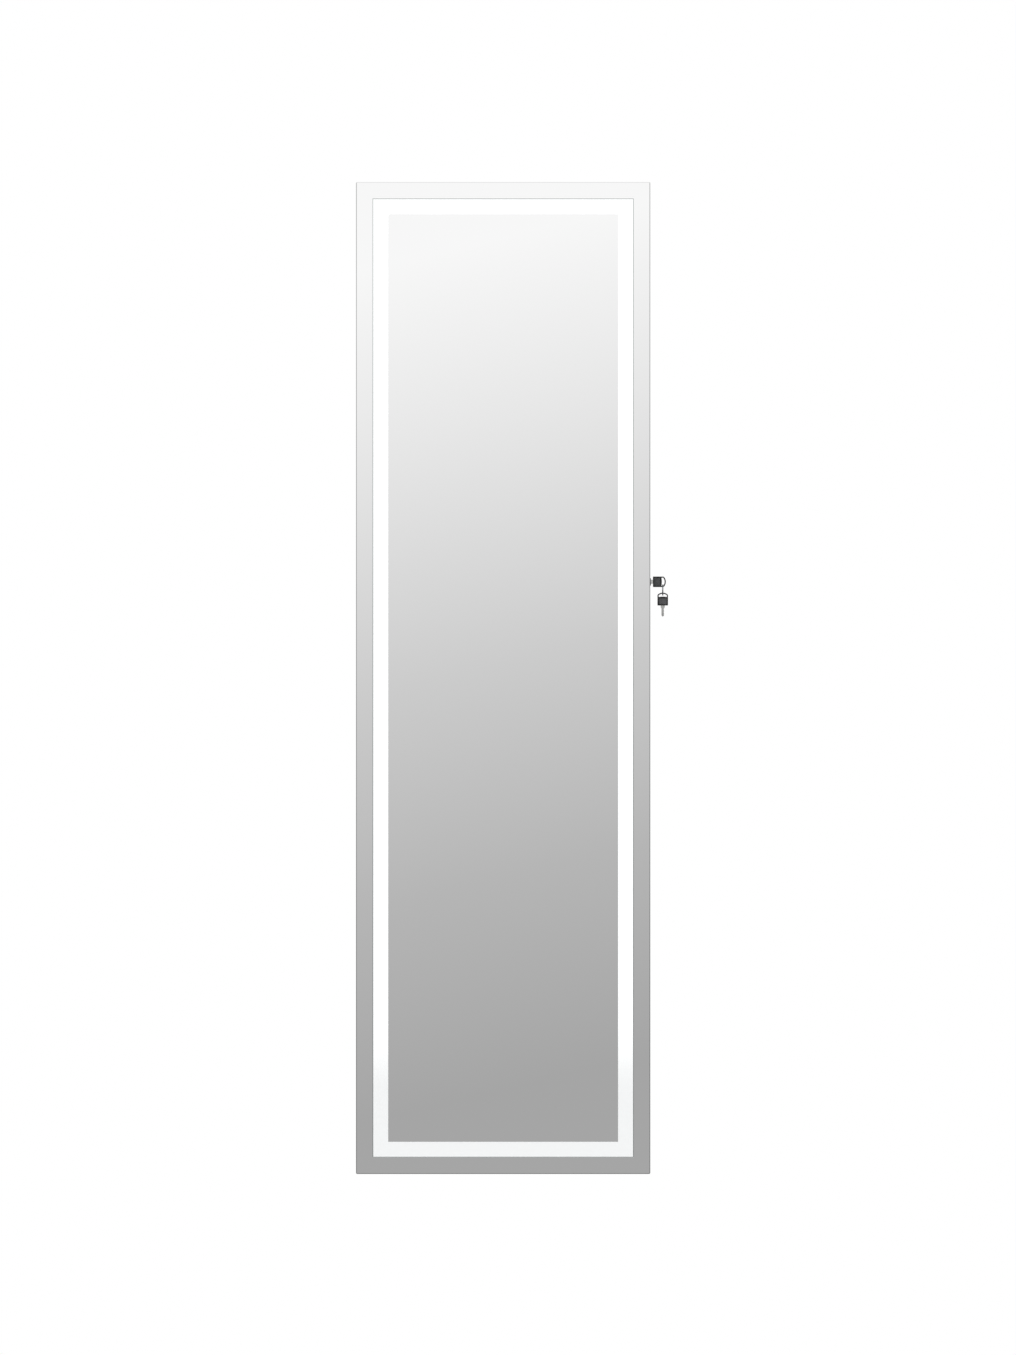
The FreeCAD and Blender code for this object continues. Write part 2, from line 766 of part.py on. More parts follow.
def inlet_outline(grow):
    """A stadium across the rail, seen from below, grown by a margin."""
    half = (inlet_width - inlet_thick) / 2
    r = inlet_thick / 2 + grow
    y = button_y()
    left, right = inlet_x - half, inlet_x + half
    edges = [Part.LineSegment(V(left, y - r, 0), V(right, y - r, 0)).toShape(),
             Part.Arc(V(right, y - r, 0), V(right + r, y, 0), V(right, y + r, 0)).toShape(),
             Part.LineSegment(V(right, y + r, 0), V(left, y + r, 0)).toShape(),
             Part.Arc(V(left, y + r, 0), V(left - r, y, 0), V(left, y - r, 0)).toShape()]
    return Part.Face(Part.Wire(edges))


def inlet_block(grow, bottom, height):
    block = inlet_outline(grow).extrude(V(0, 0, height))
    block.translate(V(0, 0, bottom))
    return block


def bottom_rail():
    board = box(-stile_in, stile_in, y_door, y_glass, -half_h, -rail_in)
    board = eased(board, [("Y", y_door), ("Z", -half_h)])
    button_bore = rod(V(0, button_y(), -half_h), V(0, 0, 1), button_housing_r + fit_gap, stile_width)
    return less(board, [button_bore, inlet_block(fit_gap, -half_h, stile_width)])


# ---- mirror and light ----------------------------------------------------------------------
def band_ring(y0, y1):
    return frame_ring(band_out_w, band_out_h, band_in_w, band_in_h, y0, y1)


def mirror_glass():
    """One sheet: the polished arris runs round its front, and the frosted band is sunk in it."""
    sheet = box(-glass_width / 2, glass_width / 2, y_glass, y_face, -glass_height / 2, glass_height / 2)
    sheet = sheet.makeFillet(glass_corner_r, edges_along(sheet, V(0, 1, 0)))
    front = [edge for edge in sheet.Edges if abs(edge.BoundBox.YMax - y_face) < 0.01]
    sheet = sheet.makeChamfer(glass_arris, front)
    return sheet.cut(band_ring(y_face + band_depth, y_face - 1))


def frosted_band():
    return band_ring(y_face + band_depth, y_face)


def control_window(grow):
    """Space of the control box through the backing board."""
    half = box_width / 2 + grow
    return box(-half, half, y_chamber, y_glass, box_bottom - grow, box_bottom + box_height + grow)


def cable_places():
    """Where the three leads leave the control box: strip, switch and charging inlet."""
    return (-inlet_x, 0.0, inlet_x)


def cable_hole(x, length):
    return rod(V(x, button_y(), box_bottom + box_wall + 1), V(0, 0, -1), box_cable_hole_r, length)


def mirror_backing_board():
    board = box(-backing_w, backing_w, y_chamber, y_glass, -backing_h, backing_h)
    channels = [cable_hole(x, backing_h) for x in cable_places()]
    return less(board, [control_window(flat_gap)] + channels)


def light_diffuser():
    return frame_ring(stile_in - free_gap, rail_in - free_gap, backing_w + free_gap, backing_h + free_gap,
                      y_glass, y_glass + diffuser_thick)


def led_strip():
    half = strip_width / 2
    top = y_chamber - strip_thick
    return frame_ring(strip_w + half, strip_h + half, strip_w - half, strip_h - half, y_chamber, top)


def chip_positions(reach):
    count = int(2 * reach / chip_pitch)
    return [(i - (count - 1) / 2) * chip_pitch for i in range(count)]


def led_chip(x, z):
    half = chip_size / 2
    y = y_chamber - strip_thick
    return box(x - half, x + half, y, y - chip_thick, z - half, z + half)


def led_chips():
    chips = [led_chip(side * strip_w, z) for side in (-1, 1) for z in chip_positions(strip_h)]
    chips += [led_chip(x, side * strip_h) for side in (-1, 1) for x in chip_positions(strip_w - strip_width)]
    return Part.makeCompound(chips)


def door_back_panel():
    panel = box(-stile_in, stile_in, y_panel, y_chamber, -rail_in, rail_in)
    half = box_width / 2 - cover_lap
    low, high = box_bottom + cover_lap, box_bottom + box_height - cover_lap
    service = box(-half, half, y_panel, y_chamber, low, high)
    return less(panel, [service] + holes_at(cover_screw_places(), *COVER))


# ---- control box ---------------------------------------------------------------------------
def control_box():
    """Open tray behind the mirror, with a ledge under the battery and posts under the circuit board."""
    half = box_width / 2
    inner = half - box_wall
    top = box_bottom + box_height
    floor = y_glass + box_wall
    tray = box(-half, half, y_chamber, y_glass, box_bottom, top)
    tray = tray.cut(box(-inner, inner, y_chamber, floor, box_bottom + box_wall, top - box_wall))
    x, z = circuit_centre()
    out_x, out_z = board_width / 2 - circuit_post_inset, board_height / 2 - circuit_post_inset
    posts = [rod(V(x + sx * out_x, floor, z + sz * out_z), V(0, 1, 0), circuit_post_r, circuit_seat() - floor)
             for sx in (-1, 1) for sz in (-1, 1)]
    return less(fused([tray] + posts), [cable_hole(x_hole, box_wall + 2) for x_hole in cable_places()])


def circuit_centre():
    return box_width / 4 - 1, box_bottom + box_height / 2


def circuit_seat():
    """The circuit board stands this far from the wall, just behind the leads."""
    return button_y() + wire_r


def circuit_board():
    x, z = circuit_centre()
    wide, high = board_width / 2, board_height / 2
    seat = circuit_seat()
    top = seat + circuit_thick
    board = box(x - wide, x + wide, seat, top, z - high, z + high)
    chip = box(x - wide / 3, x + wide / 3, top, top + circuit_chip_high, z - high / 4, z + high / 3)
    coil = rod(V(x + wide * 0.7, top, z + high * 0.4), V(0, 1, 0), circuit_coil_r, circuit_coil_high)
    return fused([board, chip, coil])


def battery():
    x = -box_width / 4 - 1
    z = box_bottom + box_height / 2
    floor = y_glass + box_wall
    cell = box(x - battery_width / 2, x + battery_width / 2, floor, floor + battery_thick,
               z - battery_height / 2, z + battery_height / 2)
    return cell.makeFillet(battery_corner_r, edges_along(cell, V(0, 0, 1)))


def battery_cover():
    half = box_width / 2 + cover_lap
    low, high = box_bottom - cover_lap, box_bottom + box_height + cover_lap
    plate = box(-half, half, y_panel, y_panel + cover_thick, low, high)
    plate = plate.makeFillet(cover_corner_r, edges_along(plate, V(0, 1, 0)))
    return less(plate, holes_at(cover_screw_places(), *COVER))


def wiring():
    """Three leads from the control box: to the light strip, the switch and the charging inlet."""
    start = box_bottom + box_wall + 3
    y = button_y()
    lead = [rod(V(0, y, start), V(0, 0, -1), wire_r, start - (button_housing_top - half_h)),
            rod(V(inlet_x, y, start), V(0, 0, -1), wire_r, start - (inlet_length - half_h))]
    x = -inlet_x
    low = -strip_h + lead_bend_r
    turn = V(x, y + lead_bend_r, -strip_h)
    middle = V(x, y + lead_bend_r * (1 - half_turn), low - lead_bend_r * half_turn)
    end = V(x, y_chamber - strip_thick, -strip_h)
    path = Part.Wire([Part.LineSegment(V(x, y, start), V(x, y, low)).toShape(),
                      Part.Arc(V(x, y, low), middle, turn).toShape(),
                      Part.LineSegment(turn, end).toShape()])
    section = Part.Wire(Part.Circle(V(x, y, start), V(0, 0, 1), wire_r).toShape())
    lead.append(path.makePipeShell([section], True, False))
    return Part.makeCompound(lead)


# ---- power button and charging inlet -------------------------------------------------------
def button_rod(low, high, radius):
    return rod(V(0, button_y(), low), V(0, 0, 1), radius, high - low)


def button_housing():
    tube = button_rod(-half_h, button_housing_top - half_h, button_housing_r)
    guide = button_rod(-half_h, button_ledge, button_r + fit_gap)
    return less(tube, [guide, button_rod(button_ledge, button_roof, button_flange_r + fit_gap)])


def power_button():
    face = -half_h - button_proud
    cap = button_rod(face, button_flange, button_r)
    rim = [edge for edge in cap.Edges if abs(edge.BoundBox.ZMax - face) < 0.01]
    flange = button_rod(button_flange, button_flange_top, button_flange_r)
    return fused([cap.makeFillet(button_rim_r, rim), flange])


def button_spring():
    low = button_flange_top + spring_wire_r + flat_gap / 2
    height = button_roof - flat_gap / 2 - spring_wire_r - low
    helix = Part.makeHelix(height / spring_turns, height, spring_r)
    section = Part.Wire(Part.Circle(V(spring_r, 0, 0), V(0, 1, 0), spring_wire_r).toShape())
    coil = Part.Wire(helix.Edges).makePipeShell([section], True, True)
    coil.translate(V(0, button_y(), low))
    return coil


def usb_inlet():
    body = inlet_block(0, -half_h, inlet_length)
    hollow = inlet_block(-inlet_wall, -half_h - 1, inlet_deep + 1)
    y = button_y()
    tongue = box(inlet_x - inlet_tongue_width / 2, inlet_x + inlet_tongue_width / 2,
                 y - inlet_tongue_thick / 2, y + inlet_tongue_thick / 2,
                 inlet_deep - half_h - inlet_tongue_length, inlet_deep - half_h)
    return body.cut(hollow).fuse(tongue).removeSplitter()


# ---- fittings on the back of the door ------------------------------------------------------
def inner_mirror():
    half = inner_mirror_width / 2
    low = rail_in - inner_mirror_drop - inner_mirror_height
    sheet = box(-half, half, y_panel, y_panel + inner_mirror_thick, low, low + inner_mirror_height)
    return sheet.makeFillet(inner_mirror_corner_r, edges_along(sheet, V(0, 1, 0)))


def door_earring_rail(top):
    """Notched bar on two end blocks, so that hooks and pins pass behind it."""
    back = y_door - door_rail_setback
    bar = box(-door_rail_half, door_rail_half, back, back - door_rail_thick, top - door_rail_height, top)
    ends = [box(side * door_rail_half, side * (door_rail_half - door_rail_end), back, y_panel,
                top - door_rail_height, top) for side in (-1, 1)]
    count = int((2 * door_rail_half - 3 * door_rail_end) / door_notch_pitch)
    notches = []
    for i in range(count):
        x = (i - (count - 1) / 2) * door_notch_pitch
        notches.append(box(x - door_notch_width / 2, x + door_notch_width / 2, back, back - door_rail_thick,
                           top - door_notch_depth, top))
    return less(fused([bar] + ends), notches)


def door_earring_rails():
    return Part.makeCompound([door_earring_rail(top) for top in door_rail_tops])


def door_fitting_screws():
    screws = screws_at(leaf_screw_places(-1) + catch_plate_screw_places(), *SMALL)
    return Part.makeCompound(screws + screws_at(cover_screw_places(), *COVER))


# ---- lock ----------------------------------------------------------------------------------
def lock_rod(x0, x1, radius):
    return rod(V(x0, lock_y, lock_height), V(1, 0, 0), radius, x1 - x0)


def lock_body():
    shell = fused([lock_rod(lock_tail_x, half_w, lock_body_r), lock_rod(half_w, lock_face, lock_collar_r)])
    flange_seat = lock_rod(lock_face - plug_flange_thick - fit_gap, lock_face, plug_flange_r + fit_gap)
    return less(shell, [lock_rod(lock_tail_x, lock_face, plug_r + fit_gap), flange_seat])


def lock_nut():
    corner_r = lock_nut_flats / 2 / math.cos(math.radians(30))
    points = [V(stile_in - lock_nut_thick, lock_y + corner_r * math.cos(math.radians(60 * i + 30)),
                lock_height + corner_r * math.sin(math.radians(60 * i + 30))) for i in range(7)]
    hexagon = Part.Face(Part.makePolygon(points)).extrude(V(lock_nut_thick, 0, 0))
    return hexagon.cut(lock_rod(stile_in - lock_nut_thick, stile_in, lock_body_r + fit_gap))


def keyway():
    """Slot for the blade, with a mouth that widens for the slope of the shoulder."""
    y = key_blade_thick / 2 + fit_gap
    narrow = key_blade_width / 2 + fit_gap
    wide = key_shoulder_width / 2 + fit_gap
    end, slope_end = -key_blade_length - free_gap, -key_shoulder_taper - fit_gap
    upper = [(end, narrow), (slope_end, narrow), (0, wide), (1, wide)]
    outline = [V(lock_face + x, lock_y - y, lock_height + z) for x, z in upper]
    outline += [V(lock_face + x, lock_y - y, lock_height - z) for x, z in reversed(upper)]
    return Part.Face(Part.makePolygon(outline + outline[:1])).extrude(V(0, 2 * y, 0))


def lock_plug():
    core = fused([lock_rod(cam_x, lock_face - plug_flange_thick, plug_r),
                  lock_rod(lock_face - plug_flange_thick, lock_face, plug_flange_r)])
    return less(core, [keyway(), lock_rod(cam_x, cam_x + cam_screw_length + free_gap, cam_screw_r + fit_gap)])


def lock_cam():
    """Hooked arm on the inner end of the plug. It points up when the door is free."""
    x0, x1 = cam_x - cam_thick, cam_x
    hub = lock_rod(x0, x1, cam_hub_r)
    disc = lock_rod(x0, x1, cam_reach)
    left, right = lock_y - cam_half_width, lock_y + cam_half_width
    arm = box(x0, x1, left, right, lock_height, lock_height + cam_reach).common(disc)
    ring = disc.cut(lock_rod(x0, x1, cam_finger_inner))
    far = 2 * cam_reach
    tip = math.radians(90 - cam_finger_angle)
    centre = V(x0, lock_y, lock_height)
    corners = [centre, centre + V(0, 0, far), centre + V(0, far * math.cos(tip), far * math.sin(tip)), centre]
    wedge = Part.Face(Part.makePolygon(corners)).extrude(V(cam_thick, 0, 0))
    hook = fused([hub, arm, ring.common(wedge)])
    return hook.cut(lock_rod(x0, x1, cam_screw_r + fit_gap))


def cam_screw():
    head_x = cam_x - cam_thick
    head = lock_rod(head_x - cam_screw_head_thick, head_x, cam_screw_head_r)
    shank = lock_rod(head_x, cam_x + cam_screw_length, cam_screw_r)
    slot = box(head_x - cam_screw_head_thick, head_x - cam_screw_head_thick / 2,
               lock_y - cam_screw_head_r, lock_y + cam_screw_head_r,
               lock_height - cam_slot_half, lock_height + cam_slot_half)
    return fused([head, shank]).cut(slot)


# ---- keys, made lying along +X from the base of the head, then turned and placed ------------
def key_blade():
    """Blade with its bitting, the shoulder that stops at the lock, and the tang in the head."""
    start = -key_shoulder_length - key_blade_length
    half = key_blade_width / 2
    wide = key_shoulder_width / 2
    tip = key_blade_width / 2
    slope_end = -key_shoulder_length - key_shoulder_taper
    outline = [V(start, 0, 0), V(start + tip, 0, half), V(slope_end, 0, half),
               V(-key_shoulder_length, 0, wide), V(-key_shoulder_length, 0, -wide),
               V(slope_end, 0, -half), V(start + tip, 0, -half), V(start, 0, 0)]
    blade = Part.Face(Part.makePolygon(outline)).extrude(V(0, key_blade_thick, 0))
    pitch = (key_blade_length - tip) / (key_cut_count + 1)
    cuts = []
    for i in range(key_cut_count):
        x = start + tip + (i + 0.8) * pitch
        depth = key_cut_depth * (0.7 + 0.3 * (i % 2))
        base = V(x - depth, 0, -half)
        notch = Part.makePolygon([base, V(x, 0, depth - half), V(x + depth, 0, -half), base])
        cuts.append(Part.Face(notch).extrude(V(0, key_blade_thick, 0)))
    shoulder = box(-key_shoulder_length, key_tang, 0, key_blade_thick, -wide, wide)
    blade = fused([less(blade, cuts), shoulder])
    blade.translate(V(0, -key_blade_thick / 2, 0))
    return blade


def loop_point(radius, v):
    """Where the loop's arc of this radius stands at the height v across the key."""
    return loop_centre + math.sqrt(radius ** 2 - v ** 2)


def key_outline(radius, half, start):
    """Straight sides from the start, closed by the arc of the loop."""
    end = loop_point(radius, half)
    edges = [Part.LineSegment(V(start, 0, half), V(start, 0, -half)).toShape(),
             Part.LineSegment(V(start, 0, -half), V(end, 0, -half)).toShape(),
             Part.Arc(V(end, 0, -half), V(loop_centre + radius, 0, 0), V(end, 0, half)).toShape(),
             Part.LineSegment(V(end, 0, half), V(start, 0, half)).toShape()]
    return Part.Face(Part.Wire(edges))


def slab(face, thick, y_middle):
    solid = face.extrude(V(0, thick, 0))
    solid.translate(V(0, y_middle - thick / 2, 0))
    return solid


def key_crown():
    """Bowed end of the head's solid part, inside the loop and as thin as it, clear of the ring."""
    half = key_head_width / 2 - key_loop_bar
    bow = Part.Arc(V(key_body_length, 0, half), V(key_body_length + key_body_crown, 0, 0),
                   V(key_body_length, 0, -half)).toShape()
    chord = Part.LineSegment(V(key_body_length, 0, -half), V(key_body_length, 0, half)).toShape()
    return slab(Part.Face(Part.Wire([bow, chord])), key_loop_thick, 0)


def key_head():
    """Moulded head: a square body with sunk faces and a bowed loop for the ring."""
    half = key_head_width / 2
    full = slab(key_outline(loop_r, half, 0), key_head_thick, 0)
    base = [edge for edge in edges_along(full, V(0, 1, 0)) if edge.BoundBox.XMax < key_inset]
    full = full.makeFillet(key_corner_r, base)
    loop_ends = [edge for edge in edges_along(full, V(0, 1, 0)) if edge.BoundBox.XMin > key_body_length]
    full = full.makeFillet(key_loop_corner_r, loop_ends)
    far, wide = key_head_length + 1, half + 1
    thinning = [box(key_body_length, far, side * key_head_thick, side * key_loop_thick / 2, -wide, wide)
                for side in (-1, 1)]
    opening = slab(key_outline(loop_inner_r, half - key_loop_bar, key_body_length), key_head_thick + 2, 0)
    opening = opening.makeFillet(key_opening_corner_r, edges_along(opening, V(0, 1, 0)))
    inner = half - key_inset
    sunk = [box(key_inset, key_body_length - key_inset, side * key_head_thick,
                side * (key_head_thick / 2 - key_inset_depth), -inner, inner) for side in (-1, 1)]
    return fused([less(full, thinning + [opening] + sunk), key_crown()]).cut(key_blade())


def hung(shape):
    """A key turned so that its head is up and its blade hangs down, on the ring below the first key."""
    bar_z = lock_height - key_bar - keys_drop
    base_z = bar_z - (key_head_length - key_loop_bar / 2)
    return placed(shape, V(ring_x(), lock_y, base_z), FreeCAD.Rotation(V(0, 1, 0), -90))


def ring_x():
    """The ring stands midway in the loop's opening at the height where its wire passes."""
    passing = key_bar - ring_hang - ring_wire_r
    reach = loop_point(loop_inner_r, abs(passing) + 2 * ring_wire_r)
    return key_x + (key_body_length + key_body_crown + reach) / 2


def inserted(shape):
    return placed(shape, V(key_x, lock_y, lock_height), FreeCAD.Rotation())


def key_ring():
    centre = V(ring_x(), lock_y, lock_height - key_bar + ring_hang - ring_r)
    return Part.makeTorus(ring_r, ring_wire_r, centre, V(1, 0, 0))


def build():
    os.makedirs("parts", exist_ok=True)
    left_panel, right_panel = side_panels()
    left_stile, right_stile = stiles()
    nodes = {
        "left_side_panel": left_panel,
        "right_side_panel": right_panel,
        "top_panel": end_panel(1),
        "bottom_panel": end_panel(-1),
        "back_panel": less(back_panel_space(), wall_holes()),
        "wall_rails": wall_rails(),
        "velvet_lining": velvet_lining(),
        "panel_screws": Part.makeCompound(screws_at(all_panel_screw_places(), *PANEL)),
        "middle_shelf": middle_shelf(),
        "vertical_divider": vertical_divider(),
        "lower_shelves": lower_shelves(),
        "shelf_guards": shelf_guards(),
        "necklace_rail": necklace_rail(),
        "necklace_hooks": necklace_hooks(),
        "bracelet_rod": bracelet_rod(),
        "earring_panel": earring_panel(),
        "ring_tray": ring_tray(),
        "ring_rolls": ring_rolls(),
        "lipstick_rack": lipstick_rack(),
        "hinge_cabinet_leaves": hinge_leaves(1),
        "hinge_pins": hinge_pins(),
        "cabinet_fitting_screws": cabinet_fitting_screws(),
        "strike_bracket": strike_bracket(),
        "magnet_catches": magnet_catches(),
        "door_bumpers": door_bumpers(),
        "left_stile": left_stile,
        "right_stile": right_stile,
        "top_rail": top_rail(),
        "bottom_rail": bottom_rail(),
        "mirror_glass": mirror_glass(),
        "frosted_band": frosted_band(),
        "mirror_backing_board": mirror_backing_board(),
        "light_diffuser": light_diffuser(),
        "led_strip": led_strip(),
        "led_chips": led_chips(),
        "door_back_panel": door_back_panel(),
        "control_box": control_box(),
        "battery": battery(),
        "circuit_board": circuit_board(),
        "battery_cover": battery_cover(),
        "wiring": wiring(),
        "button_housing": button_housing(),
        "power_button": power_button(),
        "button_spring": button_spring(),
        "usb_inlet": usb_inlet(),
        "inner_mirror": inner_mirror(),
        "door_earring_rails": door_earring_rails(),
        "hinge_door_leaves": hinge_leaves(-1),
        "door_fitting_screws": door_fitting_screws(),
        "catch_plates": catch_plates(),
        "lock_body": lock_body(),
        "lock_nut": lock_nut(),
        "lock_plug": lock_plug(),
        "lock_cam": lock_cam(),
        "cam_screw": cam_screw(),
        "key_blade": inserted(key_blade()),
        "key_head": inserted(key_head()),
        "key_ring": key_ring(),
        "spare_key_blade": hung(key_blade()),
        "spare_key_head": hung(key_head()),
    }
    for name, shape in nodes.items():
        save(name, shape)


build()
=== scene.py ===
"""Jewellery mirror cabinet: its finishes, its finer pieces and the studio it is shown in.

Metres in the frame's own axes: X runs right, -Y comes out of the wall, +Z is up.
"""
import functools
import logging
import math
from dataclasses import dataclass
from enum import Enum
from typing import Iterable

import bmesh
import bpy
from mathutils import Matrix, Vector


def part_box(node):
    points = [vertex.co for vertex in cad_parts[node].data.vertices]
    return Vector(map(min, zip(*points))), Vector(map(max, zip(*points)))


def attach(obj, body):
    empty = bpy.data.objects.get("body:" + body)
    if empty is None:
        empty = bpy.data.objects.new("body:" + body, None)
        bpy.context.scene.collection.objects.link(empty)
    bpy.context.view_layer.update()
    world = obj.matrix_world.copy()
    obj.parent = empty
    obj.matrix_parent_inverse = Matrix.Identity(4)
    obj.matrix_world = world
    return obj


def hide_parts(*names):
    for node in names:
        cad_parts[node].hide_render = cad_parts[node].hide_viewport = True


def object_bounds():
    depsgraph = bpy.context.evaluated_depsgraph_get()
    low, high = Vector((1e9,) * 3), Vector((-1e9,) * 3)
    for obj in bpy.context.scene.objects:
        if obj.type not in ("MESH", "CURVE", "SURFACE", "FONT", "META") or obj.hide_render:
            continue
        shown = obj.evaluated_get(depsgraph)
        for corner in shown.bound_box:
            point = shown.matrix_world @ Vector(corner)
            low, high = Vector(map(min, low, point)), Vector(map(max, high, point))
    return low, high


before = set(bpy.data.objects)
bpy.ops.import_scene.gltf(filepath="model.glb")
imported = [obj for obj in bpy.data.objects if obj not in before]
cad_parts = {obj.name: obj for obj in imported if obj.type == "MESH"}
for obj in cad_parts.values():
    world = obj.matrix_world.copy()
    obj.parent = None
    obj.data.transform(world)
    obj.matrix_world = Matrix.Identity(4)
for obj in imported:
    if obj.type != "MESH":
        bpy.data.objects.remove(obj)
CAD_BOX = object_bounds()

MM = 0.001
log = logging.getLogger("mirror_cabinet")

Point = tuple[float, float, float]
Tree = bpy.types.NodeTree


# ---- colour and nodes ----------------------------------------------------------------------
def linear(hex_colour: str) -> tuple[float, float, float, float]:
    """Turns an sRGB hex colour to the linear values that the shaders take.

    Args:
        hex_colour: Colour such as "#F0EFEC".

    Returns:
        Linear red, green and blue, and an alpha of 1.
    """
    parts = [int(hex_colour[i:i + 2], 16) / 255 for i in (1, 3, 5)]
    return (*[p / 12.92 if p <= 0.04045 else ((p + 0.055) / 1.055) ** 2.4 for p in parts], 1.0)


def add(tree: Tree, kind: str, sockets: dict | None = None, **settings: object) -> bpy.types.Node:
    """Adds one shader node.

    Args:
        tree: Node tree that takes the node.
        kind: Node type, without its "ShaderNode" prefix.
        sockets: Input name or number to a value, or to the node or output that feeds it.
        settings: The node's own properties, and stops as (place, hex colour) for a ramp.

    Returns:
        The new node.
    """
    node = tree.nodes.new("ShaderNode" + kind)
    for place, (position, colour) in enumerate(settings.pop("stops", ())):
        elements = node.color_ramp.elements
        stop = elements[place] if place < 2 else elements.new(position)
        stop.position, stop.color = position, linear(colour)
    for name, value in settings.items():
        setattr(node, name, value)
    for key, value in (sockets or {}).items():
        if isinstance(value, bpy.types.Node):
            value = next(output for output in value.outputs if output.enabled)
        if isinstance(value, bpy.types.NodeSocket):
            tree.links.new(value, node.inputs[key])
        else:
            node.inputs[key].default_value = value
    return node


def speckle(tree: Tree, size_mm: float, detail: float = 2.0, stretch: Point = (1, 1, 1)) -> bpy.types.Node:
    """Random pattern whose patches have a real size on the piece.

    Args:
        tree: Node tree that takes the pattern.
        size_mm: Usual width of a patch.
        detail: How many finer octaves it carries.
        stretch: How much longer the patches are along each axis.

    Returns:
        The noise node, whose first output runs from 0 to 1.
    """
    where = add(tree, "TexCoord").outputs["Object"]
    scale = [1 / (size_mm * MM * s) for s in stretch]
    return add(tree, "TexNoise", {"Vector": add(tree, "Mapping", {"Vector": where, "Scale": scale}),
                                  "Scale": 1.0, "Detail": detail})


def along(tree: Tree, axis: str) -> bpy.types.NodeSocket:
    """The place on the piece along one axis, in metres."""
    return add(tree, "SeparateXYZ", {0: add(tree, "TexCoord").outputs["Object"]}).outputs[axis]


def spread(tree: Tree, value: object, low: float, high: float, start: float, end: float) -> bpy.types.Node:
    """Carries a value from one range to another, held at both ends."""
    return add(tree, "MapRange", {0: value, 1: low, 2: high, 3: start, 4: end})


# ---- finishes ------------------------------------------------------------------------------
@dataclass(frozen=True)
class Finish:
    """A surface finish. Its name becomes the material's."""

    name: str

    def surface(self, tree: Tree) -> bpy.types.Node:
        """Adds the finish's nodes.

        Args:
            tree: Takes the nodes.

        Returns:
            The shader node.
        """
        raise NotImplementedError

    @functools.cache
    def made(self) -> bpy.types.Material:
        """Makes the material on first use.

        Returns:
            The material.
        """
        material = bpy.data.materials.new(self.name)
        material.use_nodes = True
        material.node_tree.nodes.clear()
        add(material.node_tree, "OutputMaterial", {"Surface": self.surface(material.node_tree)})
        return material


@dataclass(frozen=True)
class SprayedLacquer(Finish):
    """Satin lacquer sprayed on fibreboard: a soft highlight, broken by faint orange peel."""

    colour: str
    shade: str
    peel_mm: float = 2.2
    peel_depth_mm: float = 0.012

    def surface(self, tree: Tree) -> bpy.types.Node:
        """Adds tone, gloss and orange peel.

        Args:
            tree: Takes the nodes.

        Returns:
            The shader node.
        """
        tone = add(tree, "ValToRGB", {0: speckle(tree, 90.0)}, stops=[(0.3, self.shade), (0.7, self.colour)])
        peel = add(tree, "Bump", {"Height": speckle(tree, self.peel_mm), "Distance": self.peel_depth_mm * MM})
        gloss = spread(tree, speckle(tree, 25.0), 0.3, 0.7, 0.30, 0.38)
        return add(tree, "BsdfPrincipled", {"Base Color": tone, "Roughness": gloss, "Normal": peel,
                                            "IOR": 1.5, "Coat Weight": 0.12, "Coat Roughness": 0.2})


@dataclass(frozen=True)
class SilveredGlass(Finish):
    """Float glass silvered on its back: a clean reflection, and pale sea-green polished edges."""

    colour: str
    edge: str
    face_y: float
    inward: int                  # which way along Y the glass lies behind its face
    silver_mm: float = 1.05      # the eye sees silver from the face to here, and glass past it
    waviness_mm: float = 160.0

    def surface(self, tree: Tree) -> bpy.types.Node:
        """Adds the mirror and its glass edge.

        Args:
            tree: Takes the nodes.

        Returns:
            The shader node.
        """
        wave = add(tree, "Bump", {"Height": speckle(tree, self.waviness_mm, 0.0), "Distance": 0.004 * MM})
        wiped = spread(tree, speckle(tree, 30.0, 4.0, (1, 1, 3)), 0.45, 0.75, 0.0, 0.03)
        silver = add(tree, "BsdfPrincipled", {"Base Color": linear(self.colour), "Metallic": 1.0,
                                              "Roughness": wiped, "Normal": wave})
        # Polish marks run up and down the edge. Real ones are finer than the render shows.
        polish = spread(tree, speckle(tree, 0.6, 2.0, (1, 1, 12)), 0.3, 0.7, 0.08, 0.2)
        edge = add(tree, "BsdfPrincipled", {"Base Color": linear(self.edge), "Metallic": 0.35,
                                            "Roughness": polish, "IOR": 1.52})
        start = self.face_y + self.inward * self.silver_mm * MM
        past = spread(tree, along(tree, "Y"), start, start + self.inward * 0.05 * MM, 0.0, 1.0)
        return add(tree, "MixShader", {0: past, 1: silver, 2: edge})


@dataclass(frozen=True)
class FrostedLitGlass(Finish):
    """Glass etched by sandblasting and lit from behind: an even white glow, weaker at the lower end."""

    colour: str
    unlit: str
    low_z: float
    dim_m: float = 0.08          # height of the weaker stretch, and of the change above it
    fade_m: float = 0.08
    dim_glow: float = 0.57
    full_glow: float = 0.74
    grit_mm: float = 0.35

    def surface(self, tree: Tree) -> bpy.types.Node:
        """Adds the glow and the etched grain.

        Args:
            tree: Takes the nodes.

        Returns:
            The shader node.
        """
        start = self.low_z + self.dim_m
        glow = spread(tree, along(tree, "Z"), start, start + self.fade_m, self.dim_glow,
                      self.full_glow)
        glow.interpolation_type = "SMOOTHSTEP"
        grain = add(tree, "Bump", {"Height": speckle(tree, self.grit_mm), "Distance": 0.02 * MM})
        rough = spread(tree, speckle(tree, 4.0), 0.3, 0.7, 0.55, 0.65)
        return add(tree, "BsdfPrincipled", {"Base Color": linear(self.unlit), "Roughness": rough,
                                            "Normal": grain, "Emission Color": linear(self.colour),
                                            "Emission Strength": glow, "IOR": 1.52})


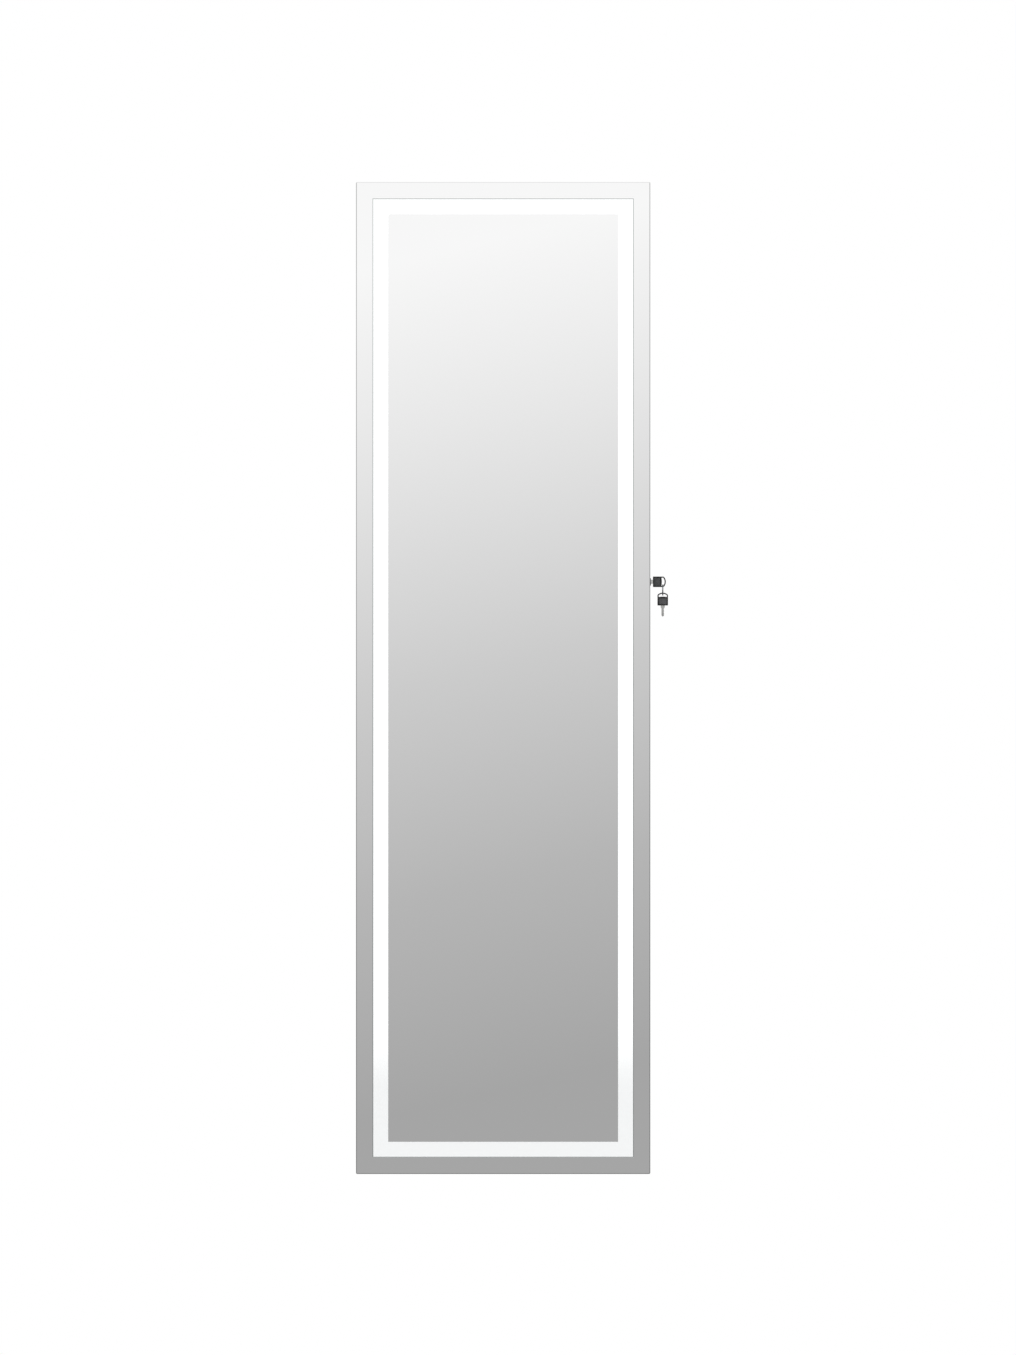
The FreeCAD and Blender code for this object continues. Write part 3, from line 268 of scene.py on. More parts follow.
@dataclass(frozen=True)
class EtchedEdge(Finish):
    """Polished slope of the etched line: clear glass over silver whose slope turns the reflection, given a
    base colour darker than the mirror's, which is painted shade along the band's outer edge.
    """

    colour: str

    def surface(self, tree: Tree) -> bpy.types.Node:
        """Adds the slope's darker tone, which is painted shade, and its wheel marks.

        Args:
            tree: Takes the nodes.

        Returns:
            The shader node.
        """
        marks = spread(tree, speckle(tree, 1.5, 3.0), 0.3, 0.7, 0.04, 0.12)
        # The base colour, darker than the mirror's, paints a shade line round the lit band.
        return add(tree, "BsdfPrincipled", {"Base Color": linear(self.colour), "Metallic": 1.0,
                                            "Roughness": marks})


@dataclass(frozen=True)
class OpalSheet(Finish):
    """Extruded opal acrylic: milky, soft and lit through, with faint lines along its length."""

    colour: str

    def surface(self, tree: Tree) -> bpy.types.Node:
        """Adds the glow and extrusion lines.

        Args:
            tree: Takes the nodes.

        Returns:
            The shader node.
        """
        lines = add(tree, "Bump", {"Height": speckle(tree, 0.8, 1.0, (1, 1, 60)), "Distance": 0.01 * MM})
        rough = spread(tree, speckle(tree, 12.0), 0.3, 0.7, 0.35, 0.5)
        return add(tree, "BsdfPrincipled", {"Base Color": linear(self.colour), "Roughness": rough,
                                            "Normal": lines, "IOR": 1.49, "Subsurface Weight": 0.2,
                                            "Subsurface Radius": (0.003, 0.003, 0.003),
                                            "Emission Color": linear(self.colour),
                                            "Emission Strength": 0.5})


@dataclass(frozen=True)
class CutPileVelvet(Finish):
    """Cut-pile velvet: dark from above, pale at grazing angles, with patches where the pile lies over."""

    colour: str
    brushed: str
    pile_mm: float = 0.7         # real pile is 0.1 mm across; drawn coarser so that it shows
    patch_mm: float = 9.0

    def surface(self, tree: Tree) -> bpy.types.Node:
        """Adds pile, brushed patches and sheen.

        Args:
            tree: Takes the nodes.

        Returns:
            The shader node.
        """
        patches = spread(tree, speckle(tree, self.patch_mm, 3.0, (1, 1, 1.6)), 0.3, 0.7, 0.0, 0.42)
        strokes = spread(tree, speckle(tree, self.patch_mm / 5, 2.0, (1, 1, 6)), 0.3, 0.7, 0.0, 0.2)
        pile = speckle(tree, self.pile_mm, 2.0)
        lay = add(tree, "Math", {0: patches, 1: strokes}, operation="ADD")
        both = add(tree, "Math", {0: lay, 1: spread(tree, pile, 0.2, 0.8, 0.0, 0.38)}, operation="ADD")
        tone = add(tree, "ValToRGB", {0: both}, stops=[(0.1, self.colour), (0.9, self.brushed)])
        lie = add(tree, "Bump", {"Height": pile, "Distance": 0.25 * MM})
        return add(tree, "BsdfPrincipled", {"Base Color": tone, "Roughness": 0.95, "Normal": lie,
                                            "Sheen Weight": 0.6, "Sheen Roughness": 0.35,
                                            "Sheen Tint": linear("#C9C8D0"), "IOR": 1.35})


@dataclass(frozen=True)
class FlockedSheet(Finish):
    """Plastic sheet flocked with short fibre: flat, dark and slightly dusty."""

    colour: str
    dust: str

    def surface(self, tree: Tree) -> bpy.types.Node:
        """Adds fibre and dust.

        Args:
            tree: Takes the nodes.

        Returns:
            The shader node.
        """
        fibre = speckle(tree, 0.5, 3.0)      # real flock is finer than the render shows
        tone = add(tree, "ValToRGB", {0: fibre}, stops=[(0.3, self.colour), (0.75, self.dust)])
        nap = add(tree, "Bump", {"Height": fibre, "Distance": 0.12 * MM})
        return add(tree, "BsdfPrincipled", {"Base Color": tone, "Roughness": 0.9, "Normal": nap,
                                            "Sheen Weight": 0.35, "Sheen Roughness": 0.4})


@dataclass(frozen=True)
class PressedFibreboard(Finish):
    """Hardboard pressed on a wire screen: brown fibres, and the screen's fine grid in its surface."""

    colour: str
    fibre: str
    screen_mm: float = 2.4       # real screen is 1.2 mm; drawn coarser so that it shows

    def surface(self, tree: Tree) -> bpy.types.Node:
        """Adds fibres, flecks and the screen's grid.

        Args:
            tree: Takes the nodes.

        Returns:
            The shader node.
        """
        flecks = speckle(tree, 3.0, 5.0, (2.5, 1, 1))
        tone = add(tree, "ValToRGB", {0: flecks}, stops=[(0.3, self.fibre), (0.62, self.colour)])
        turns = 2 * math.pi / (self.screen_mm * MM)
        ridges = [add(tree, "Math", {0: add(tree, "Math", {0: along(tree, axis), 1: turns},
                                            operation="MULTIPLY")}, operation="SINE") for axis in "XZ"]
        grid = add(tree, "Math", {0: ridges[0], 1: ridges[1]}, operation="MULTIPLY")
        mesh = add(tree, "Bump", {"Height": grid, "Distance": 0.05 * MM})
        rough = add(tree, "Bump", {"Height": flecks, "Distance": 0.05 * MM, "Normal": mesh})
        return add(tree, "BsdfPrincipled", {"Base Color": tone, "Roughness": 0.72, "Normal": rough})


class MetalWork(Enum):
    """How a metal surface was made: roughness, and how long its marks are along X, Y and Z."""

    BRIGHT_PLATED = (0.07, (1, 1, 1))
    SATIN_PLATED = (0.36, (1, 1, 1))
    MILLED = (0.2, (14, 1, 1))
    HUNG_MILLED = (0.2, (1, 1, 14))
    DIE_CAST = (0.34, (1, 1, 1))


@dataclass(frozen=True)
class Metal(Finish):
    """Metal with the marks of its making: a shade of tone, and roughness that varies with them."""

    colour: str
    worn: str
    work: MetalWork
    mark_mm: float = 0.8

    def surface(self, tree: Tree) -> bpy.types.Node:
        """Adds tone, marks and wear.

        Args:
            tree: Takes the nodes.

        Returns:
            The shader node.
        """
        roughness, stretch = self.work.value
        marks = speckle(tree, self.mark_mm, 3.0, stretch)
        tone = add(tree, "ValToRGB", {0: speckle(tree, 6.0, 4.0)},
                   stops=[(0.35, self.worn), (0.65, self.colour)])
        rough = spread(tree, marks, 0.25, 0.75, roughness * 0.75, roughness * 1.35)
        relief = add(tree, "Bump", {"Height": marks, "Distance": roughness * 0.02 * MM})
        return add(tree, "BsdfPrincipled", {"Base Color": tone, "Metallic": 1.0, "Roughness": rough,
                                            "Normal": relief})


@dataclass(frozen=True)
class MouldedPlastic(Finish):
    """Injection-moulded ABS: an even skin with the fine grain of a spark-eroded mould."""

    colour: str
    scuffed: str
    grain_mm: float = 0.45
    grain_depth_mm: float = 0.02
    roughness: float = 0.42

    def surface(self, tree: Tree) -> bpy.types.Node:
        """Adds grain and handling scuffs.

        Args:
            tree: Takes the nodes.

        Returns:
            The shader node.
        """
        grain = add(tree, "Bump", {"Height": speckle(tree, self.grain_mm),
                                   "Distance": self.grain_depth_mm * MM})
        scuffs = speckle(tree, 5.0, 5.0)
        tone = add(tree, "ValToRGB", {0: scuffs}, stops=[(0.45, self.colour), (0.8, self.scuffed)])
        rough = spread(tree, scuffs, 0.3, 0.7, self.roughness * 0.85, self.roughness * 1.2)
        return add(tree, "BsdfPrincipled", {"Base Color": tone, "Roughness": rough, "Normal": grain,
                                            "IOR": 1.54})


@dataclass(frozen=True)
class KeyHeadMoulding(Finish):
    """Moulded ABS key head: a smooth, nearly black rim round sunk faces of a matt, greyer grain."""

    rim: str
    rim_scuffed: str
    face: str
    face_worn: str
    low: Point                   # corners of the sunk faces' space
    high: Point
    grain_mm: float = 0.5        # real grain is finer than the render shows

    def surface(self, tree: Tree) -> bpy.types.Node:
        """Adds the rim and the sunk faces.

        Args:
            tree: Takes the nodes.

        Returns:
            The shader node.
        """
        where = add(tree, "SeparateXYZ", {0: add(tree, "TexCoord").outputs["Object"]})
        sunk = 1.0
        for axis, low, high in zip("XYZ", self.low, self.high):
            within = add(tree, "Math", {0: where.outputs[axis], 1: (low + high) / 2, 2: (high - low) / 2},
                         operation="COMPARE")
            sunk = add(tree, "Math", {0: sunk, 1: within}, operation="MULTIPLY")
        scuffs = speckle(tree, 4.0, 5.0)
        rim = add(tree, "ValToRGB", {0: scuffs}, stops=[(0.4, self.rim), (0.8, self.rim_scuffed)])
        face = add(tree, "ValToRGB", {0: speckle(tree, self.grain_mm, 2.0)},
                   stops=[(0.3, self.face), (0.7, self.face_worn)])
        tone = add(tree, "Mix", {"Factor": sunk, 6: rim.outputs["Color"], 7: face.outputs["Color"]},
                   data_type="RGBA")
        rough = spread(tree, sunk, 0.0, 1.0, 0.34, 0.6)
        grain = add(tree, "Bump", {"Height": speckle(tree, self.grain_mm), "Strength": sunk,
                                   "Distance": 0.06 * MM})
        return add(tree, "BsdfPrincipled", {"Base Color": tone.outputs[2], "Roughness": rough,
                                            "Normal": grain, "IOR": 1.54, "Specular IOR Level": 0.3})


@dataclass(frozen=True)
class Sheathing(Finish):
    """PVC insulation: each lead has its own colour, by its place across the door."""

    colours: tuple[str, str, str]
    lead_x: float

    def surface(self, tree: Tree) -> bpy.types.Node:
        """Adds the three colours and a soft skin.

        Args:
            tree: Takes the nodes.

        Returns:
            The shader node.
        """
        place = spread(tree, along(tree, "X"), -self.lead_x * 1.5, self.lead_x * 1.5, 0.0, 1.0)
        stops = [(0.0, self.colours[0]), (0.34, self.colours[1]), (0.67, self.colours[2])]
        tone = add(tree, "ValToRGB", {0: place}, stops=stops)
        tone.color_ramp.interpolation = "CONSTANT"
        skin = add(tree, "Bump", {"Height": speckle(tree, 1.2), "Distance": 0.03 * MM})
        return add(tree, "BsdfPrincipled", {"Base Color": tone, "Roughness": 0.45, "Normal": skin})


@dataclass(frozen=True)
class CoatedFilm(Finish):
    """Printed or laminated film: a base tone with fine lines or wrinkles of a second one."""

    colour: str
    line: str
    pitch_mm: float
    metallic: float = 0.0
    roughness: float = 0.35

    def surface(self, tree: Tree) -> bpy.types.Node:
        """Adds cells of the second tone and their relief.

        Args:
            tree: Takes the nodes.

        Returns:
            The shader node.
        """
        where = add(tree, "TexCoord").outputs["Object"]
        cells = add(tree, "TexVoronoi", {"Vector": where, "Scale": 1 / (self.pitch_mm * MM)},
                    feature="DISTANCE_TO_EDGE")
        tone = add(tree, "ValToRGB", {0: cells}, stops=[(0.04, self.line), (0.1, self.colour)])
        relief = add(tree, "Bump", {"Height": cells, "Distance": 0.04 * MM})
        rough = spread(tree, speckle(tree, 3.0), 0.3, 0.7, self.roughness * 0.8, self.roughness * 1.2)
        return add(tree, "BsdfPrincipled", {"Base Color": tone, "Metallic": self.metallic,
                                            "Roughness": rough, "Normal": relief})


@dataclass(frozen=True)
class PhosphorPackage(Finish):
    """White-light diode: a yellow phosphor face in a white epoxy body, glowing."""

    colour: str
    body: str

    def surface(self, tree: Tree) -> bpy.types.Node:
        """Adds body, phosphor and glow.

        Args:
            tree: Takes the nodes.

        Returns:
            The shader node.
        """
        grains = speckle(tree, 0.6, 3.0)
        tone = add(tree, "ValToRGB", {0: grains}, stops=[(0.4, self.body), (0.55, self.colour)])
        return add(tree, "BsdfPrincipled", {"Base Color": tone, "Roughness": 0.4,
                                            "Emission Color": linear(self.body), "Emission Strength": 1.2})


@dataclass(frozen=True)
class PaleFloor(Finish):
    """Matt paper floor: white to the camera, shaded where the object keeps light from it."""

    colour: str
    centre: tuple[float, float]
    radius_m: float

    def surface(self, tree: Tree) -> bpy.types.Node:
        """Adds the paper, its lift to white and its faded rim.

        Args:
            tree: Takes the nodes.

        Returns:
            The shader node.
        """
        tone = add(tree, "ValToRGB", {0: speckle(tree, 60.0)}, stops=[(0.3, "#F1F1EF"), (0.7, self.colour)])
        paper = add(tree, "BsdfDiffuse", {"Color": tone})
        rays = add(tree, "LightPath")
        lifted = spread(tree, rays.outputs["Is Camera Ray"], 0, 1, 0.0, 0.45)
        lift = add(tree, "Emission", {"Color": linear("#FFFFFF"), "Strength": lifted})
        lit = add(tree, "AddShader", {0: paper, 1: lift})
        where = add(tree, "SeparateXYZ", {0: add(tree, "TexCoord").outputs["Object"]})
        flat = add(tree, "CombineXYZ", {0: where.outputs["X"], 1: where.outputs["Y"]})
        away = add(tree, "VectorMath", {0: flat, 1: (*self.centre, 0.0)}, operation="DISTANCE")
        fade = spread(tree, away.outputs["Value"], self.radius_m * 0.55, self.radius_m * 0.98, 0.0, 1.0)
        hidden = add(tree, "Math", {0: fade, 1: rays.outputs["Is Glossy Ray"]}, operation="MAXIMUM")
        return add(tree, "MixShader", {0: hidden, 1: lit, 2: add(tree, "BsdfTransparent")})


# Finishes that several sub-assemblies share.
WHITE_LACQUER = SprayedLacquer("fibreboard_lacquered_white", "#F1F0ED", "#EEEDEA")
ZINC_PLATED_STEEL = Metal("steel_zinc_plated", "#D3D6D8", "#B3B8BC", MetalWork.SATIN_PLATED)


# ---- helpers for the frame's nodes and for new pieces ----------------------------------------
def paint(finish: Finish, *nodes: str) -> None:
    """Gives nodes of the frame a finish."""
    for name in nodes:
        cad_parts[name].material_slots[0].material = finish.made()


def ease(width_mm: float, *nodes: str) -> None:
    """Rounds the hard edges of rigid nodes, as tools and moulds leave them.

    Args:
        width_mm: Width of the rounding.
        nodes: Names of the frame's nodes.
    """
    for name in nodes:
        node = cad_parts[name]
        node.modifiers.new("join_seams", "WELD").merge_threshold = 0.005 * MM
        flats = node.modifiers.new("join_flats", "DECIMATE")
        flats.decimate_type = "DISSOLVE"
        flats.angle_limit = math.radians(0.4)
        rounding = node.modifiers.new("ease_edges", "BEVEL")
        rounding.width = width_mm * MM
        rounding.segments = 3
        rounding.angle_limit = math.radians(40)
        rounding.harden_normals = True


def new_piece(name: str, mesh: bmesh.types.BMesh, body: str, finishes: Iterable[Finish],
              stands_for: str) -> bpy.types.Object:
    """Makes a piece that rides on a body and stands for a node of the frame.

    Args:
        name: Name of the piece.
        mesh: Its faces, in the frame's axes. It is freed here.
        body: Body that it rides on.
        finishes: Finishes in the order of the faces' material numbers.
        stands_for: Node of the frame that is no longer shown.

    Returns:
        The new object.
    """
    data = bpy.data.meshes.new(name)
    bmesh.ops.recalc_face_normals(mesh, faces=mesh.faces)
    mesh.to_mesh(data)
    mesh.free()
    piece = bpy.data.objects.new(name, data)
    bpy.context.scene.collection.objects.link(piece)
    for finish in finishes:
        data.materials.append(finish.made())
    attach(piece, body)
    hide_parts(stands_for)
    return piece


def smooth(piece: bpy.types.Object, angle_deg: float) -> None:
    """Shades a piece smooth, apart from its sharper edges.

    Args:
        piece: The piece.
        angle_deg: Edges that turn by more than this stay sharp.
    """
    data = piece.data
    data.shade_smooth()
    data.set_sharp_from_angle(angle=math.radians(angle_deg))


def evaluated(piece: bpy.types.Object) -> bpy.types.Mesh:
    """The piece's mesh with its modifiers applied, as a new mesh."""
    return bpy.data.meshes.new_from_object(piece.evaluated_get(bpy.context.evaluated_depsgraph_get()))


def lofted(rings: list[list[Vector]]) -> bmesh.types.BMesh:
    """Skins a row of rings that all have the same number of points, and caps both ends.

    Args:
        rings: Rings of points, each closed on itself.

    Returns:
        The skinned mesh.
    """
    mesh = bmesh.new()
    rows = [[mesh.verts.new(point) for point in ring] for ring in rings]
    for a, b in zip(rows, rows[1:]):
        for i in range(len(a)):
            j = (i + 1) % len(a)
            mesh.faces.new((a[i], a[j], b[j], b[i]))
    mesh.faces.new(rows[0])
    mesh.faces.new(rows[-1])
    return mesh


# ---- sub-assemblies ------------------------------------------------------------------------
@dataclass
class SubAssembly:
    """A group of pieces that is made and finished together."""

    def build(self) -> list[bpy.types.Object]:
        """Models the pieces that the frame lacks, if there are any."""
        return []

    def dress(self) -> None:
        """Finishes the frame's nodes that the group keeps."""
        raise NotImplementedError


@dataclass
class MirrorFront(SubAssembly):
    """Mirror glass with its lit band, and what stands behind it in the door."""

    band_width_mm: float = 19.0
    slope_width_mm: float = 0.9
    slope_depth_mm: float = 0.35
    inner_arris_mm: float = 0.25

    def build(self) -> list[bpy.types.Object]:
        """Models the frosted band with the polished slope round its outer edge.

        Returns:
            The new pieces.
        """
        low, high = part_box("frosted_band")
        mesh = bmesh.new()
        outline = [(0.0, high.y), (0.0, low.y + self.slope_depth_mm * MM), (self.slope_width_mm, low.y),
                   (self.band_width_mm - self.inner_arris_mm, low.y),
                   (self.band_width_mm, low.y + self.inner_arris_mm * MM), (self.band_width_mm, high.y)]
        rows = []
        for inset_mm, y in outline:
            x, z = high.x - inset_mm * MM, high.z - inset_mm * MM
            corners = ((-x, y, -z), (x, y, -z), (x, y, z), (-x, y, z))
            rows.append([mesh.verts.new(corner) for corner in corners])
        for number, (a, b) in enumerate(zip(rows, rows[1:] + rows[:1])):
            for i in range(4):
                face = mesh.faces.new((a[i], a[(i + 1) % 4], b[(i + 1) % 4], b[i]))
                face.material_index = 1 if number <= 1 else 0
        # The slope's finish is darker than the mirror: painted shade round the band's outer edge.
        finishes = (FrostedLitGlass("sandblasted_glass_lit", "#FFFFFF", "#9C9E9E", low.z),
                    EtchedEdge("etched_line_polished_painted_shade", "#CFD4D3"))
        return [new_piece("lit_band", mesh, "door", finishes, "frosted_band")]

    def dress(self) -> None:
        """Finishes the glass, the board behind it and the diffuser."""
        front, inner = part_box("mirror_glass")[0].y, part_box("inner_mirror")[1].y
        paint(SilveredGlass("float_glass_silvered", "#F6F6F6", "#B9CFC8", front, 1), "mirror_glass")
        paint(SilveredGlass("float_glass_silvered_small", "#F4F4F4", "#B9CFC8", inner, -1), "inner_mirror")
        paint(PressedFibreboard("fibreboard_pressed", "#A98A62", "#7C5F3E"), "mirror_backing_board")
        paint(OpalSheet("opal_acrylic_extruded", "#F7F8F5"), "light_diffuser")


@dataclass
class Carcass(SubAssembly):
    """Lacquered boards of the cabinet, its back panel and wall rails."""

    boards: tuple[str, ...] = ("left_side_panel", "right_side_panel", "top_panel", "bottom_panel")

    def dress(self) -> None:
        """Finishes the boards, the back and the screws."""
        paint(WHITE_LACQUER, *self.boards, "wall_rails")
        paint(PressedFibreboard("hardboard_screen_pressed", "#9A7550", "#6F4F33"), "back_panel")
        paint(ZINC_PLATED_STEEL, "panel_screws")


@dataclass
class Interior(SubAssembly):
    """Shelves, rails and trays that hold the jewellery."""

    roll_count: int = 8
    roll_points: int = 28
    roll_sections: int = 44
    end_round_mm: float = 5.0
    end_share: float = 0.72      # height of a roll's very end, as a share of its middle's
    roll_squareness: float = 0.8     # 1 is a round section, and less is squarer
    cover_cell_mm: float = 2.0
    cover_slack: float = 0.02    # how much larger the velvet cover is cut than its foam
    swell_room_mm: float = 0.7   # the cover starts this much inside its space
    swell_cap_mm: float = 0.9
    swell_frames: int = 20
    swell_pressure: float = 4.0
    glued_mm: float = 3.0        # depth of the strip along the cover's back that is glued down
    lining_step_mm: float = 8.0
    lining_relief_mm: float = 0.35

    def dress(self) -> None:
        """Finishes the fittings that stay as the frame gives them."""
        paint(WHITE_LACQUER, "middle_shelf", "vertical_divider", "lower_shelves", "shelf_guards",
              "necklace_rail", "lipstick_rack", "ring_tray")
        ease(0.6, "vertical_divider", "necklace_rail", "lipstick_rack", "ring_tray")
        paint(FlockedSheet("flocked_sheet_charcoal", "#26272B", "#44454B"), "earring_panel")
        paint(Metal("brass_chrome_plated", "#DFE1E2", "#CDD0D2", MetalWork.BRIGHT_PLATED),
              "necklace_hooks", "bracelet_rod")

    def roll_rings(self, low: Vector, high: Vector) -> list[list[Vector]]:
        """Sections of one padded roll, flat at the back, crowned in front and rounded at the ends.

        Args:
            low: Lowest corner of the space that the roll fills.
            high: Highest corner of that space.

        Returns:
            Rings of points from one end of the roll to the other.
        """
        middle_z, half_z = (low.z + high.z) / 2, (high.z - low.z) / 2
        back, depth = high.y, high.y - low.y
        rings = []
        for i in range(self.roll_sections + 1):
            share = i / self.roll_sections
            x = low.x + (high.x - low.x) * share
            inside = min(share, 1 - share) * (high.x - low.x) / (self.end_round_mm * MM)
            full = math.sqrt(max(0.0, 1 - max(0.0, 1 - inside) ** 2))
            swell = self.end_share + (1 - self.end_share) * full
            ring = []
            for j in range(self.roll_points):
                angle = 2 * math.pi * j / self.roll_points
                up, out = math.sin(angle), math.cos(angle)
                z = middle_z + half_z * swell * math.copysign(abs(up) ** self.roll_squareness, up)
                forward = swell * math.copysign(abs(out) ** self.roll_squareness, out)
                ring.append(Vector((x, back - depth / 2 - depth / 2 * forward, z)))
            rings.append(ring)
        return rings

    def swollen(self, cover: bpy.types.Object, glued_y: float) -> bpy.types.Mesh:
        """Swells a roll's velvet cover over its foam by cloth simulation, glued along its back.

        Args:
            cover: The cover in its plain shape.
            glued_y: Where its glued back starts, in metres.

        Returns:
            The swollen cover, subdivided once.
        """
        cells = cover.modifiers.new("even_cells", "REMESH")
        cells.mode, cells.voxel_size = "VOXEL", self.cover_cell_mm * MM
        cover.data = evaluated(cover)
        cover.modifiers.clear()
        start = [vertex.co.copy() for vertex in cover.data.vertices]
        glued = cover.vertex_groups.new(name="glued")
        glued.add([i for i, place in enumerate(start) if place.y > glued_y], 1.0, "REPLACE")
        cloth = cover.modifiers.new("swell", "CLOTH").settings
        cloth.use_pressure, cloth.uniform_pressure_force = True, self.swell_pressure
        cloth.effector_weights.gravity = 0.0
        cloth.vertex_group_mass = glued.name
        cloth.shrink_min = -self.cover_slack
        for number in range(1, self.swell_frames + 1):
            bpy.context.scene.frame_set(number)
        cover.data = evaluated(cover)
        cover.modifiers.clear()
        for vertex, place in zip(cover.data.vertices, start):
            moved = vertex.co - place
            vertex.co = place + moved * min(1.0, self.swell_cap_mm * MM / max(moved.length, 0.01 * MM))
        cover.modifiers.new("finer", "SUBSURF").levels = 1
        return evaluated(cover)

    def roll_shape(self, low: Vector, high: Vector) -> bmesh.types.BMesh:
        """Args:
            low: Lowest corner of the space that the roll fills.
            high: Highest corner of that space.

        Returns:
            The roll's mesh.
        """
        room = Vector((self.swell_room_mm, self.swell_room_mm, self.swell_room_mm)) * MM
        shape = lofted(self.roll_rings(low + room, high - Vector((room.x, 0, room.z))))
        bmesh.ops.recalc_face_normals(shape, faces=shape.faces)
        data = bpy.data.meshes.new("roll_cover")
        shape.to_mesh(data)
        cover = bpy.data.objects.new("roll_cover", data)
        bpy.context.scene.collection.objects.link(cover)
        shape.clear()
        shape.from_mesh(self.swollen(cover, high.y - self.glued_mm * MM))
        bpy.data.objects.remove(cover)
        return shape

    def build_rolls(self) -> list[bpy.types.Object]:
        """Models the padded velvet rolls of the ring tray; every second one lies the other way round.

        Returns:
            The new pieces.
        """
        low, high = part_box("ring_rolls")
        pitch = (high.z - low.z) / self.roll_count
        velvet = CutPileVelvet("velvet_cut_pile_on_foam", "#232429", "#3B3C43")
        lowest = self.roll_shape(low, Vector((high.x, high.y, low.z + pitch)))
        rolls = []
        for i in range(self.roll_count):
            shape = lowest.copy()
            for vertex in shape.verts:
                if i % 2:
                    vertex.co.x = low.x + high.x - vertex.co.x
                vertex.co.z += i * pitch
            roll = new_piece(f"ring_roll_{i + 1}", shape, "cabinet", [velvet], "ring_rolls")
            smooth(roll, 60)
            rolls.append(roll)
        lowest.free()
        return rolls

    def build_lining(self) -> bpy.types.Object:
        """Models the velvet stretched over the back, with the slight relief of cloth on foam.

        Returns:
            The lining.
        """
        low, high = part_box("velvet_lining")
        wide, tall = high.x - low.x, high.z - low.z
        nx, nz = (round(length / (self.lining_step_mm * MM)) for length in (wide, tall))
        mesh = bmesh.new()
        sides = []
        for front in (True, False):
            rows = []
            for k in range(nz + 1):
                row = []
                for i in range(nx + 1):
                    x, z = low.x + wide * i / nx, low.z + tall * k / nz
                    at_edge = min(i, nx - i, k, nz - k) == 0
                    # Waves 103 mm apart across and 170 mm apart down, bent so that none is straight.
                    wave = math.sin(x * 61.0 + 1.3 * math.sin(z * 23.0)) * math.sin(z * 37.0 + x * 19.0)
                    relief = 0.0 if at_edge else self.lining_relief_mm * MM * (0.5 + 0.5 * wave)
                    row.append(mesh.verts.new((x, low.y + relief if front else high.y, z)))
                rows.append(row)
            sides.append(rows)
            for k in range(nz):
                for i in range(nx):
                    mesh.faces.new((rows[k][i], rows[k][i + 1], rows[k + 1][i + 1], rows[k + 1][i]))
        rims = [[rows[0][i] for i in range(nx)] + [rows[k][nx] for k in range(nz)]
                + [rows[nz][i] for i in range(nx, 0, -1)] + [rows[k][0] for k in range(nz, 0, -1)]
                for rows in sides]
        for i in range(len(rims[0])):
            j = (i + 1) % len(rims[0])
            mesh.faces.new((rims[0][i], rims[0][j], rims[1][j], rims[1][i]))
        velvet = CutPileVelvet("velvet_cut_pile_stretched", "#2A2B30", "#44454D", patch_mm=34.0)
        lining = new_piece("back_lining", mesh, "cabinet", [velvet], "velvet_lining")
        smooth(lining, 40)
        return lining

    def build(self) -> list[bpy.types.Object]:
        """Models the soft pieces: the padded rolls and the lining."""
        return [*self.build_rolls(), self.build_lining()]


@dataclass
class Door(SubAssembly):
    """Door frame behind the glass, and the fittings on its back."""

    def dress(self) -> None:
        """Finishes the frame, its back panel and the earring rails."""
        paint(WHITE_LACQUER, "left_stile", "right_stile", "top_rail", "bottom_rail", "door_back_panel",
              "door_earring_rails")
        ease(0.5, "door_earring_rails", "inner_mirror")


@dataclass
class LightUnit(SubAssembly):
    """LED strip, its chips, control box, battery, switch and charging inlet."""

    lead_x: float = 0.04

    def dress(self) -> None:
        """Finishes each part of the light."""
        paint(CoatedFilm("polyimide_strip_laminated", "#F2F1EA", "#C58A54", 8.0), "led_strip")
        paint(PhosphorPackage("diode_phosphor_cast", "#F4E27A", "#FBFBF4"), "led_chips")
        grey = MouldedPlastic("abs_moulded_pale_grey", "#D9DADA", "#E4E5E5")
        paint(grey, "control_box", "battery_cover", "button_housing")
        ease(0.5, "battery_cover")
        paint(MouldedPlastic("abs_moulded_button", "#C6C8CA", "#D4D6D7", roughness=0.3), "power_button")
        paint(CoatedFilm("foil_laminated_cell", "#AEB3B7", "#C3C7CA", 9.0, 0.7, 0.3), "battery")
        paint(CoatedFilm("glass_epoxy_etched_board", "#1F5A3C", "#3E8A5F", 2.5), "circuit_board")
        paint(Sheathing("pvc_extruded_leads", ("#A32A22", "#25262A", "#E9E7E0"), self.lead_x), "wiring")
        paint(Metal("spring_steel_drawn", "#BFC3C6", "#9DA2A7", MetalWork.SATIN_PLATED), "button_spring")
        paint(Metal("steel_drawn_shell", "#CDD0D3", "#B4B9BD", MetalWork.SATIN_PLATED), "usb_inlet")


@dataclass
class Fittings(SubAssembly):
    """Hinges, catches, strike and their screws."""

    def dress(self) -> None:
        """Finishes the steel, the catches and the bumpers."""
        paint(ZINC_PLATED_STEEL, "hinge_cabinet_leaves", "hinge_door_leaves", "hinge_pins",
              "strike_bracket", "catch_plates", "cabinet_fitting_screws", "door_fitting_screws")
        ease(0.15, "strike_bracket", "catch_plates")
        paint(MouldedPlastic("abs_moulded_catch", "#E6E6E3", "#F0F0EE"), "magnet_catches")
        paint(MouldedPlastic("rubber_moulded", "#46474A", "#55565A", roughness=0.7), "door_bumpers")


@dataclass
class Lock(SubAssembly):
    """Cam lock in the door's right stile."""

    def dress(self) -> None:
        """Finishes the barrel, nut, plug and cam."""
        black = Metal("zinc_die_cast_black_nickel", "#5B5D61", "#424448", MetalWork.DIE_CAST)
        paint(black, "lock_body", "lock_plug")
        ease(0.35, "lock_body")
        paint(ZINC_PLATED_STEEL, "lock_nut", "lock_cam", "cam_screw")
        ease(0.2, "lock_nut", "lock_cam")


